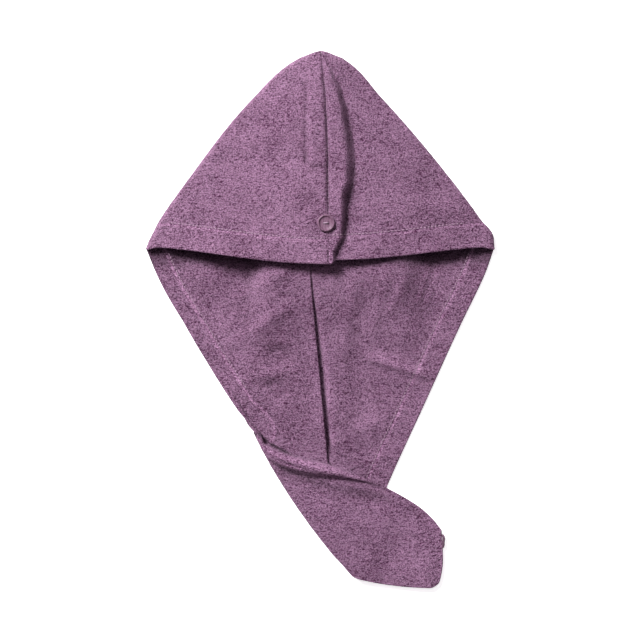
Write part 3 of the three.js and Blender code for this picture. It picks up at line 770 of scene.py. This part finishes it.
def build_panel(name, side):
    rows = panel_rows(side)
    first = np.concatenate([[0], np.cumsum([len(r) for r in rows])[:-1]])
    middle = np.vstack(rows)
    count = len(middle)
    wide = len(rows[0])
    hood_count = sum(1 for r in rows if len(r) == wide)

    quads = []
    for r in range(len(rows) - 1):
        columns = min(len(rows[r]), len(rows[r + 1])) - 1
        a = first[r] + np.arange(columns)
        b = first[r + 1] + np.arange(columns)
        corners = (a, a + 1, b + 1, b) if side == LEFT else (a, b, b + 1, a + 1)
        quads.append(np.stack(corners, axis=1))
    quads = np.vstack(quads)

    diagonal_a = middle[quads[:, 2]] - middle[quads[:, 0]]
    diagonal_b = middle[quads[:, 3]] - middle[quads[:, 1]]
    face_normals = np.cross(diagonal_a, diagonal_b)
    normals = np.zeros((count, 3))
    for corner in range(4):
        np.add.at(normals, quads[:, corner], face_normals)
    seam = np.concatenate(
        [first[:hood_count], first[:hood_count] + wide - 1, np.arange(wide)]
    ).astype(int)
    normals[seam, 0] = 0
    normals /= np.maximum(np.linalg.norm(normals, axis=1), 1e-12)[:, None]

    row_of = np.concatenate([np.full(len(r), i) for i, r in enumerate(rows)])
    column_of = np.concatenate([np.arange(len(r)) for r in rows])
    in_hood = row_of < hood_count
    nape = in_hood & (column_of > FRONT_COLUMNS + BEND_COLUMNS // 2)
    hidden = in_hood & ~nape
    in_front = ~in_hood & (row_of < hood_count + FRONT_ROWS)

    # How far each point near a free edge of the cloth is from it
    edges = free_edges(quads)
    rim = sorted({a for a, b in edges})
    tree = KDTree(len(rim))
    for i, corner in enumerate(rim):
        tree.insert(middle[corner], i)
    tree.balance()
    near = np.full(count, 9.0)
    sewn_over = nape & (row_of < hood_count - 8) & (1 - ramp(middle[:, 1], BUTTON_Y - 2, 6) > 0.5)
    limit = len(EDGE_STEPS) + 2
    last_column = np.array([len(rows[r]) - 1 for r in row_of])
    close = (column_of < limit) | (column_of > last_column - limit)
    close |= (row_of < limit) | (in_hood & (row_of > hood_count - limit)) | (row_of > len(rows) - limit)
    for i in np.flatnonzero(close):
        near[i] = tree.find(middle[i])[2]

    # Thickness on each face: pile, hems and the furrows of their stitches; and painted shade and
    # highlights along the hems
    out_half = HALF + PILE_HEIGHT * noise(middle, PILE_OUT) + TUFT_HEIGHT * noise(middle, TUFTS)
    in_half = HALF + PILE_HEIGHT * noise(middle, PILE_IN) + TUFT_HEIGHT * noise(middle, TUFTS)
    # painted_shading scales the cloth's colour: it carries the painted shade and painted highlights set
    # below
    painted_shading = np.ones(count)

    plan = middle[:, :2]
    nape_hem = rows[hood_count - 1][FRONT_COLUMNS + BEND_COLUMNS:, :2]
    from_nape_hem = np.full(count, FAR)
    from_nape_hem[nape] = distance_to_line(plan[nape], nape_hem[::3])
    band, furrow = band_and_furrow(from_nape_hem, NAPE_BAND)
    out_half += 1.0 * band - (1.1 + 0.5 * pucker(middle[:, 0])) * furrow
    # Painted light on the nape hem: its band a little lighter, painted shade in the furrow of its
    # stitches, and a painted highlight line on the band's edge beside them
    painted_shading += 0.03 * band - 0.14 * furrow
    painted_shading += 0.42 * np.exp(-((from_nape_hem - NAPE_BAND + 2.6) / 1.6) ** 2)

    hem = [row[-1, :2] for row in rows[hood_count:hood_count + FRONT_ROWS]]
    band_width = HEM_BAND[side]
    from_hem = np.full(count, FAR)
    from_hem[in_front] = distance_to_line(plan[in_front], np.array(hem)[::3])
    band, furrow = band_and_furrow(from_hem, band_width)
    in_half += 0.9 * band - (0.9 + 0.5 * pucker(middle[:, 1])) * furrow
    # Painted light on the front hem: its band a little lighter, painted shade in the furrow of its
    # stitches, and a painted highlight line on the band's edge beside them
    painted_shading += 0.03 * band - 0.14 * furrow
    painted_shading += 0.52 * np.exp(-((from_hem - band_width + 2.6) / 1.7) ** 2)

    if side == LEFT:
        lead = np.array([row[0, :2] for row in rows[hood_count:hood_count + FRONT_ROWS]])
        from_seam = np.full(count, FAR)
        from_seam[in_front] = distance_to_line(plan[in_front], lead[::3])
        in_half += 0.5 * np.exp(-(from_seam / 5) ** 2)

    # Small cross furrows where the nape seam pulls the cloth
    seam_distance = np.abs(middle[:, 0] - seam_top_x(np.clip(1 - middle[:, 1] / HOOD_LENGTH, 0, 1)))
    pull = nape * np.exp(-(seam_distance / 3.2) ** 2)
    out_half -= 0.3 * pull * (0.5 + 0.5 * np.cos(middle[:, 1] * 2 * math.pi / SEAM_PITCH))

    round_to = np.where(nape | in_front, 1.9, 1.5)
    near[sewn_over & (column_of > last_column - limit)] = 9.0
    inner = 1 - np.minimum(near / round_to, 1)
    rounded = np.sqrt(np.maximum(1 - inner ** 2, 0.012))
    out_half *= rounded
    in_half *= rounded

    # Painted shadow inside the mouth: the front and the hood's hidden cloth under the nape layer are
    # painted darker
    inside = (in_front | hidden) * ramp(plan[:, 1] + SHIFT[1], 52, 22)
    painted_shading -= 0.55 * inside
    in_tail = row_of >= hood_count + FRONT_ROWS + FOLD_ROWS
    if side == RIGHT:
        # Painted shadow in a band below the tail's roll, and a painted highlight along the roll's crest
        roll_edge = np.array(TAIL_START + ROLL_END) - SHIFT[:2]
        under_roll = np.where(in_tail, distance_to_line(plan, roll_edge), FAR)
        across = plan[:, 0] + SHIFT[0]
        fades = 1 - ramp(across, -50, 70)
        shade_at = np.clip(21 - 0.15 * (across + 20), 7, 21)
        shaded = ramp(across, -66, 30) * (1 - ramp(across, 50, 50))
        painted_shading -= 0.46 * shaded * np.exp(-((under_roll - shade_at) / 6.5) ** 2)
        painted_shading += 0.10 * fades * np.exp(-((under_roll - 0.6 * ROLL_WIDTH * fades) / 5) ** 2)
    # Painted shade along the slit under the left hem's end, where the tail turns over
    slit = np.array([GAP_START, GAP_MIDDLE, GAP_END]) - SHIFT[:2]
    in_crease = np.where(nape | hidden, FAR, distance_to_line(plan, slit))
    painted_shading -= 0.8 * np.exp(-(in_crease / 1.7) ** 2)
    # Painted light: the tail is painted lighter overall
    painted_shading += 0.10 * in_tail
    painted_shading = np.maximum(painted_shading, 0.08)
    # Painted highlight: the nape side is painted lighter towards its top and its left, where the light
    # falls
    painted_shading += 0.05 * nape * ramp(plan[:, 1], 60, 120) * ramp(-plan[:, 0], -10, 90)
    # Painted shade on the rounded edges of the cloth
    painted_shading -= 0.10 * (1 - rounded)

    # Painted shade in the hollows of the cloth and painted highlight on its crests
    painted_shading -= np.concatenate([painted_cavity_shade(rows[:hood_count]), painted_cavity_shade(rows[hood_count:])])

    outer = middle + normals * out_half[:, None]
    inner_face = middle - normals * in_half[:, None]
    vertices = (np.vstack([outer, inner_face]) + SHIFT) * MM
    vertices[:, 2] = np.maximum(vertices[:, 2], 0.0)
    faces = np.vstack([quads, (quads + count)[:, ::-1]]).tolist()
    faces += [[b, a, a + count, b + count] for a, b in edges]

    obj = new_object(name, vertices.tolist(), faces)
    tones = obj.data.attributes.new("painted_shading", "FLOAT", "POINT")
    tones.data.foreach_set("value", np.tile(painted_shading, 2).astype(np.float32))
    return obj, nape_hem, np.array(hem)


def new_object(name, vertices, faces, smooth_faces=True):
    mesh = bpy.data.meshes.new(name)
    mesh.from_pydata([tuple(v) for v in vertices], [], faces)
    mesh.polygons.foreach_set("use_smooth", [smooth_faces] * len(faces))
    mesh.update()
    obj = bpy.data.objects.new(name, mesh)
    bpy.context.scene.collection.objects.link(obj)
    return obj


# Materials

def node(tree, kind, **values):
    made = tree.nodes.new(kind)
    for key, value in values.items():
        if key.startswith("in_"):
            name = key[3:]
            made.inputs[int(name) if name.isdigit() else name.replace("_", " ")].default_value = value
        else:
            setattr(made, key, value)
    return made


def base_material(name, roughness, sheen=0.0, specular=0.3, sheen_roughness=0.5, sheen_tint=(1, 1, 1, 1)):
    material = bpy.data.materials.new(name)
    material.use_nodes = True
    tree = material.node_tree
    shader = tree.nodes["Principled BSDF"]
    shader.inputs["Roughness"].default_value = roughness
    shader.inputs["Specular IOR Level"].default_value = specular
    shader.inputs["Sheen Weight"].default_value = sheen
    shader.inputs["Sheen Roughness"].default_value = sheen_roughness
    shader.inputs["Sheen Tint"].default_value = sheen_tint
    return material, tree, shader


def scaled(tree, source, factors):
    mapping = node(tree, "ShaderNodeMapping")
    mapping.inputs["Scale"].default_value = factors
    tree.links.new(source, mapping.inputs["Vector"])
    return mapping.outputs["Vector"]


def noise_node(tree, vector, scale, detail=3.0, roughness=0.6):
    made = node(tree, "ShaderNodeTexNoise", in_Scale=scale, in_Detail=detail, in_Roughness=roughness)
    tree.links.new(vector, made.inputs["Vector"])
    return made.outputs["Fac"]


def math_node(tree, operation, a, b):
    made = node(tree, "ShaderNodeMath", operation=operation)
    for i, value in enumerate((a, b)):
        if isinstance(value, (int, float)):
            made.inputs[i].default_value = value
        else:
            tree.links.new(value, made.inputs[i])
    return made.outputs[0]


def weighted(tree, parts):
    """Sum of values, each times its weight."""
    total = None
    for value, weight in parts:
        part = math_node(tree, "MULTIPLY", value, weight)
        total = part if total is None else math_node(tree, "ADD", total, part)
    return total


def bump_node(tree, height, strength, distance, normal=None):
    made = node(tree, "ShaderNodeBump", in_Strength=strength, in_Distance=distance)
    tree.links.new(height, made.inputs["Height"])
    if normal is not None:
        tree.links.new(normal, made.inputs["Normal"])
    return made.outputs["Normal"]


def colour_ramp(tree, factor, stops):
    made = node(tree, "ShaderNodeValToRGB")
    ramp_data = made.color_ramp
    while len(ramp_data.elements) < len(stops):
        ramp_data.elements.new(0.5)
    for element, (position, colour) in zip(ramp_data.elements, stops):
        element.position = position
        element.color = (*colour, 1)
    tree.links.new(factor, made.inputs["Fac"])
    return made.outputs["Color"]


def terry_material(name, light, dark):
    material, tree, shader = base_material(
        name, 0.96, sheen=0.10, specular=0.08, sheen_roughness=0.6, sheen_tint=(0.95, 0.82, 0.92, 1)
    )
    links = tree.links
    place = node(tree, "ShaderNodeTexCoord").outputs["Object"]
    along_weft = scaled(tree, place, (0.74, 1.1, 1.0))
    loops = node(tree, "ShaderNodeTexVoronoi", in_Scale=640.0, in_Randomness=1.0)
    links.new(along_weft, loops.inputs["Vector"])
    loop_height = math_node(tree, "SUBTRACT", 1.0, loops.outputs["Distance"])
    fine = noise_node(tree, along_weft, 860.0, 3.0, 0.85)
    tufts = noise_node(tree, place, 210.0, 3.0, 0.6)
    streaks = noise_node(tree, scaled(tree, place, (0.22, 1.0, 1.0)), 620.0, 3.0, 0.65)
    patches = noise_node(tree, place, 22.0, 3.0, 0.55)
    grain = weighted(
        tree, [(loop_height, 0.24), (fine, 0.62), (tufts, 0.08), (streaks, 0.34), (patches, 0.14)]
    )
    colour = colour_ramp(tree, grain, [(0.585, dark), (0.815, light)])
    # The cloth's colour is scaled by its painted shade and painted highlights
    painted_shading = node(tree, "ShaderNodeAttribute", attribute_name="painted_shading").outputs["Fac"]
    toned = node(tree, "ShaderNodeVectorMath", operation="SCALE")
    links.new(colour, toned.inputs[0])
    links.new(painted_shading, toned.inputs["Scale"])
    links.new(toned.outputs["Vector"], shader.inputs["Base Color"])
    first = bump_node(tree, tufts, 0.2, 0.0016)
    second = bump_node(tree, loop_height, 1.0, 0.0026, first)
    third = bump_node(tree, fine, 0.9, 0.0020, second)
    links.new(third, shader.inputs["Normal"])
    return material


def thread_material(name, light, dark, scale):
    material, tree, shader = base_material(name, 0.7, sheen=0.15)
    place = node(tree, "ShaderNodeTexCoord").outputs["Object"]
    fibres = noise_node(tree, place, scale, 4.0, 0.7)
    colour = colour_ramp(tree, fibres, [(0.35, dark), (0.68, light)])
    tree.links.new(colour, shader.inputs["Base Color"])
    tree.links.new(bump_node(tree, fibres, 0.6, 0.0002), shader.inputs["Normal"])
    return material


def button_material(name, light, dark):
    material, tree, shader = base_material(name, 0.45, specular=0.35)
    place = node(tree, "ShaderNodeTexCoord").outputs["Object"]
    swirl = node(tree, "ShaderNodeTexWave", in_Scale=90.0, in_Distortion=6.0, in_Detail=2.0)
    swirl.inputs["Detail Scale"].default_value = 2.0
    tree.links.new(place, swirl.inputs["Vector"])
    specks = noise_node(tree, place, 900.0, 3.0, 0.6)
    mixed = weighted(tree, [(swirl.outputs["Fac"], 0.5), (specks, 0.5)])
    tree.links.new(colour_ramp(tree, mixed, [(0.2, dark), (0.8, light)]), shader.inputs["Base Color"])
    rough = node(tree, "ShaderNodeMapRange", in_3=0.28, in_4=0.5)
    tree.links.new(specks, rough.inputs[0])
    tree.links.new(rough.outputs[0], shader.inputs["Roughness"])
    tree.links.new(bump_node(tree, specks, 0.25, 0.0001), shader.inputs["Normal"])
    return material


TERRY_FINISH = terry_material("terry_cloth", (0.520, 0.288, 0.468), (0.062, 0.008, 0.044))
STITCH_FINISH = thread_material("hem_thread", (0.50, 0.33, 0.45), (0.34, 0.20, 0.30), 2600.0)
BUTTON_THREAD_FINISH = thread_material(
    "button_thread_cotton", (0.52, 0.37, 0.48), (0.32, 0.20, 0.29), 3200.0
)
LOOP_FINISH = thread_material("loop_cord", (0.17, 0.085, 0.14), (0.06, 0.028, 0.05), 1500.0)
BUTTON_FINISH = button_material("button_resin", (0.20, 0.103, 0.165), (0.125, 0.06, 0.10))


# Cloth panels

left_panel, left_nape, left_hem = build_panel("left_panel_cloth", LEFT)
right_panel, right_nape, right_hem = build_panel("right_panel_cloth", RIGHT)
for panel in (left_panel, right_panel):
    panel.data.materials.append(TERRY_FINISH)


# Stitches

def ring_faces(rings, sides):
    """Faces of a closed body made of rings of points."""
    faces = []
    for i in range(rings - 1):
        for j in range(sides):
            a, b = i * sides + j, i * sides + (j + 1) % sides
            faces.append([a, b, b + sides, a + sides])
    faces.append(list(range(sides))[::-1])
    faces.append([(rings - 1) * sides + j for j in range(sides)])
    return faces


def tube(path, radius, sides):
    """Vertices and faces of a tube along a path. radius may change along it."""
    path = np.array(path, float)
    radius = np.broadcast_to(radius, (len(path),))
    tangent = np.gradient(path, axis=0)
    tangent /= np.linalg.norm(tangent, axis=1)[:, None]
    side = np.cross(tangent[0], (0, 0, 1.0))
    if np.linalg.norm(side) < 1e-3:
        side = np.cross(tangent[0], (0, 1.0, 0))
    rings = []
    for p, t, r in zip(path, tangent, radius):
        side = side - t * (side @ t)
        side /= np.linalg.norm(side)
        other = np.cross(t, side)
        angles = 2 * math.pi * np.arange(sides) / sides
        rings.append(p + r * (np.cos(angles)[:, None] * side + np.sin(angles)[:, None] * other))
    return np.vstack(rings), ring_faces(len(path), sides)


class Parts:
    """Several closed bodies gathered in one mesh."""

    def __init__(self):
        self.vertices = []
        self.faces = []

    def add(self, vertices, faces):
        start = len(self.vertices)
        self.vertices.extend(map(tuple, vertices))
        self.faces.extend([[i + start for i in face] for face in faces])


def surface_tree(obj):
    mesh = obj.data
    return BVHTree.FromPolygons([v.co for v in mesh.vertices], [p.vertices for p in mesh.polygons])


SURFACES = [surface_tree(left_panel), surface_tree(right_panel)]
ABOVE = 0.2  # metres, higher than any cloth


def on_top(x, y):
    """Highest point of the cloth over a place in the frame."""
    best = None
    for tree in SURFACES:
        hit = tree.ray_cast(Vector((x, y, ABOVE)), Vector((0, 0, -1)))[0]
        if hit is not None and (best is None or hit.z > best.z):
            best = hit
    return best


def stitch_row(name, path, seed):
    """Stitches sunk into the cloth along a path in plan, millimetres of the frame."""
    random = np.random.default_rng(seed)
    parts = Parts()
    steps = np.linalg.norm(np.diff(path, axis=0), axis=1)
    along = np.concatenate([[0], np.cumsum(steps)])
    for where in np.arange(STITCH_PITCH, along[-1] - STITCH_PITCH / 2, STITCH_PITCH):
        ends = [where - STITCH_LENGTH / 2, where + STITCH_LENGTH / 2]
        a = np.array([np.interp(ends[0], along, c) for c in path.T])
        b = np.array([np.interp(ends[1], along, c) for c in path.T])
        centre = (a + b) / 2
        direction = (b - a) / np.linalg.norm(b - a)
        angle = random.normal(0, 0.05)
        direction = np.array([
            direction[0] * math.cos(angle) - direction[1] * math.sin(angle),
            direction[0] * math.sin(angle) + direction[1] * math.cos(angle),
        ])
        line = []
        for share in np.linspace(-0.5, 0.5, STITCH_POINTS):
            spot = (centre + direction * share * STITCH_LENGTH) * MM
            found = on_top(*spot)
            if found is None:
                break
            line.append(np.array(found) + (0, 0, MM * (0.45 - 1.2 * (2 * share) ** 4)))
        if len(line) == STITCH_POINTS:
            line = np.array(line)
            line[1:-1, 2] = (line[:-2, 2] + line[1:-1, 2] + line[2:, 2]) / 3
            thick = STITCH_RADIUS * MM * np.array([0.55, 0.85, 1, 1, 1, 0.85, 0.55])
            parts.add(*tube(line, thick, 6))
    return new_object(name, parts.vertices, parts.faces)


def offset_path(line, distance):
    """A line in plan moved sideways, to its left."""
    d = np.gradient(line, axis=0)
    d /= np.linalg.norm(d, axis=1)[:, None]
    return line + distance * np.stack([-d[:, 1], d[:, 0]], axis=1)


left_nape_path = offset_path(left_nape[::4], NAPE_BAND)[2:-1] + SHIFT[:2]
right_nape_path = offset_path(right_nape[::-4], NAPE_BAND)[2:-3] + SHIFT[:2]
left_hem_path = offset_path(left_hem[::4], HEM_BAND[LEFT])[2:-6] + SHIFT[:2]
right_hem_path = offset_path(right_hem[::4], -HEM_BAND[RIGHT])[1:] + SHIFT[:2]

# The right hem's stitches end where the tail lies over it
from_tail = from_line(right_hem_path - SHIFT[:2], FOLD_TOP + SHIFT[:2], TAIL_HIGH + SHIFT[:2])[0]
if (from_tail < 8).any():
    right_hem_path = right_hem_path[:np.argmax(from_tail < 8)]

stitches = [
    stitch_row("nape_hem_stitches_left", left_nape_path, 21),
    stitch_row("nape_hem_stitches_right", right_nape_path, 22),
    stitch_row("left_hem_stitches", left_hem_path, 23),
    stitch_row("right_hem_stitches", right_hem_path, 24),
]
for piece in stitches:
    piece.data.materials.append(STITCH_FINISH)

# Short stitches across the nape seam
parts = Parts()
random = np.random.default_rng(31)
for y in np.arange(SEAM_FROM, SEAM_TO, SEAM_PITCH):
    x = seam_top_x(1 - y / HOOD_LENGTH)
    if math.hypot(x - BUTTON_X, y - BUTTON_Y) < 0.55 * BUTTON_DIAMETER:
        continue
    line = []
    for share in np.linspace(-1, 1, STITCH_POINTS):
        spot = (np.array([x + share * 2.1, y + share * 0.5 + random.normal(0, 0.08)]) + SHIFT[:2]) * MM
        found = on_top(*spot)
        if found is None:
            break
        line.append(np.array(found))
    if len(line) == STITCH_POINTS:
        line = np.array(line)
        base = np.linspace(line[0, 2], line[-1, 2], STITCH_POINTS)
        line[:, 2] = base + MM * (-1.9 + 0.9 * np.linspace(-1, 1, STITCH_POINTS) ** 2)
        parts.add(*tube(line, SEAM_STITCH_RADIUS * MM, 6))
seam_stitches = new_object("nape_seam_stitches", parts.vertices, parts.faces)
seam_stitches.data.materials.append(STITCH_FINISH)
stitches.append(seam_stitches)


# Button, its thread and the tail's loop

def lathe(profile, sides):
    vertices = []
    for r, z in profile:
        for j in range(sides):
            angle = 2 * math.pi * j / sides
            vertices.append((r * math.cos(angle), r * math.sin(angle), z))
    return vertices, ring_faces(len(profile), sides)


# Section of the button from its middle underneath: shares of its radius and thickness
BUTTON_PROFILE = [
    (0.02, 0.0), (0.55, 0.0), (0.8, 0.01), (0.9, 0.09), (0.96, 0.24), (0.99, 0.4), (1.0, 0.53),
    (0.99, 0.68), (0.965, 0.83), (0.925, 0.95), (0.88, 1.0), (0.835, 0.985), (0.79, 0.9),
    (0.755, 0.76), (0.72, 0.63), (0.66, BUTTON_DISH), (0.4, BUTTON_DISH - 0.02),
    (0.02, BUTTON_DISH - 0.03),
]
radius = BUTTON_DIAMETER / 2 * MM
profile = [(r * radius, z * BUTTON_THICKNESS * MM) for r, z in BUTTON_PROFILE]
button = new_object("button_disc", *lathe(profile, 72))
hole_radius = BUTTON_HOLE_DIAMETER / 2 * MM
for side in (LEFT, RIGHT):
    vertices, faces = lathe([(hole_radius, -4 * MM), (hole_radius, 8 * MM)], 28)
    hole_x = side * BUTTON_HOLE_SPACING / 2 * MM
    hole = new_object("hole", [(x + hole_x, y, z) for x, y, z in vertices], faces)
    cut = button.modifiers.new("hole", "BOOLEAN")
    cut.operation = "DIFFERENCE"
    cut.object = hole
    cut.solver = "EXACT"
    bpy.context.view_layer.update()
    cut_button = button.evaluated_get(bpy.context.evaluated_depsgraph_get())
    cut_mesh = bpy.data.meshes.new_from_object(cut_button)
    button.modifiers.clear()
    button.data = cut_mesh
    bpy.data.objects.remove(hole)
button_place = Vector(((low.x + high.x) / 2, (low.y + high.y) / 2, low.z))
for vertex in button.data.vertices:
    vertex.co = vertex.co + button_place
button.data.materials.clear()
button.data.materials.append(BUTTON_FINISH)

THREAD_PATH = [
    (-1, 0.03), (-1, 0.4), (-0.96, 0.93), (-0.5, 1.09), (0, 1.12), (0.5, 1.09), (0.96, 0.93),
    (1, 0.4), (1, 0.03),
]
thread_top = BUTTON_DISH * BUTTON_THICKNESS + THREAD_DIAMETER / 2 + BUTTON_GAP
half_spacing = BUTTON_HOLE_SPACING / 2
thread_path = Path([(a * half_spacing, 0, h * thread_top) for a, h in THREAD_PATH])


def twisted(path, strands, strand_radius, spread, turns, samples, sides):
    """Strands laid round a path in a rope."""
    parts = Parts()
    centre = path.at(np.linspace(0, 1, samples))
    tangent = np.gradient(centre, axis=0)
    tangent /= np.linalg.norm(tangent, axis=1)[:, None]
    side = np.cross(tangent[0], (0.3, 1.0, 0.2))
    for k in range(strands):
        points = []
        across = side
        for i, (c, t) in enumerate(zip(centre, tangent)):
            across = across - t * (across @ t)
            across = across / np.linalg.norm(across)
            other = np.cross(t, across)
            angle = 2 * math.pi * (turns * i / (samples - 1) + k / strands)
            points.append(c + spread * (math.cos(angle) * across + math.sin(angle) * other))
        parts.add(*tube(points, strand_radius, sides))
    return parts


parts = twisted(thread_path, 4, 0.33, 0.3, 2.5, 48, 8)
button_thread = new_object(
    "button_thread_strands",
    [tuple(np.array(v) * MM + np.array(button_place)) for v in parts.vertices],
    parts.faces,
)
button_thread.data.materials.append(BUTTON_THREAD_FINISH)

LOOP_PATH = [(-0.9, -1), (0, -1), (0.58, -1), (1, -0.7), (1, 0), (1, 0.7), (0.58, 1), (0, 1), (-0.9, 1)]
down = -CORNER_INWARD
out = np.array([-down[1], down[0]])
half_height = (LOOP_HEIGHT - LOOP_CORD) / 2
loop_middle = TAIL_HIGH + down * (LOOP_FROM_TOP + LOOP_HEIGHT / 2)
loop_points = []
for away, along in LOOP_PATH:
    spot = loop_middle + out * mix(LOOP_GAP, LOOP_LEAN, away) + down * along * half_height
    loop_points.append((*spot, TERRY + LAYER_GAP / 2 + LOOP_RISE * max(away, 0)))
parts = twisted(Path(loop_points), 3, 0.95, 0.72, 4.5, 130, 10)
tail_loop = new_object(
    "tail_loop_cord", [tuple((np.array(v) + SHIFT) * MM) for v in parts.vertices], parts.faces
)
tail_loop.data.materials.append(LOOP_FINISH)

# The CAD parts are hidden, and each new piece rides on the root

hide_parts("left_panel")
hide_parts("right_panel")
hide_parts("button")
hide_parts("button_thread")
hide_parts("tail_loop")
for piece in (left_panel, right_panel, button, button_thread, tail_loop, *stitches):
    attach(piece, "root")

# Floor, light and camera

FLOOR = 4  # metres from its middle to its edges
FLOOR_GLOW = 0.75
floor = new_object(
    "floor", [(x * FLOOR, y * FLOOR, 0) for x, y in ((-1, -1), (1, -1), (1, 1), (-1, 1))],
    [[0, 1, 2, 3]], False,
)
floor_material, floor_tree, floor_shader = base_material("floor_paper", 0.9, specular=0.1)
floor_place = node(floor_tree, "ShaderNodeTexCoord").outputs["Object"]
floor_grain = noise_node(floor_tree, floor_place, 6.0, 2.0, 0.5)
floor_tree.links.new(
    colour_ramp(floor_tree, floor_grain, [(0.3, (0.93, 0.93, 0.93)), (0.7, (0.95, 0.95, 0.95))]),
    floor_shader.inputs["Base Color"],
)
floor_shader.inputs["Emission Color"].default_value = (1, 1, 1, 1)
floor_shader.inputs["Emission Strength"].default_value = FLOOR_GLOW
floor.data.materials.append(floor_material)


def area_light(name, at, size, power):
    light = bpy.data.lights.new(name, "AREA")
    light.shape = "DISK"
    light.size = size
    light.energy = power
    obj = bpy.data.objects.new(name, light)
    obj.location = at
    obj.rotation_mode = "QUATERNION"
    obj.rotation_quaternion = (-Vector(at)).to_track_quat("-Z", "Y")
    bpy.context.scene.collection.objects.link(obj)


area_light("key", at=(-2.37, 2.82, 3.31), size=1.9, power=488)
area_light("fill", at=(0.3, 0.6, 3.2), size=2.0, power=12)

world = bpy.data.worlds.new("studio")
world.use_nodes = True
world.node_tree.nodes["Background"].inputs["Color"].default_value = (1.0, 0.80, 0.95, 1)
world.node_tree.nodes["Background"].inputs["Strength"].default_value = 0.11
bpy.context.scene.world = world
bpy.context.scene.view_settings.view_transform = "Standard"

FRAME_WIDTH = 736 * MM
LENS = 150
SENSOR = 36
FOCUS_HEIGHT = 8 * MM  # the frame's width is measured this far above the floor
camera_data = bpy.data.cameras.new("camera")
camera_data.lens = LENS
camera_data.sensor_width = SENSOR
camera = bpy.data.objects.new("camera", camera_data)
camera.location = (0, 0, FRAME_WIDTH * LENS / SENSOR + FOCUS_HEIGHT)
bpy.context.scene.collection.objects.link(camera)
bpy.context.scene.camera = camera
camera_data.clip_start = 0.1
camera_data.clip_end = 20
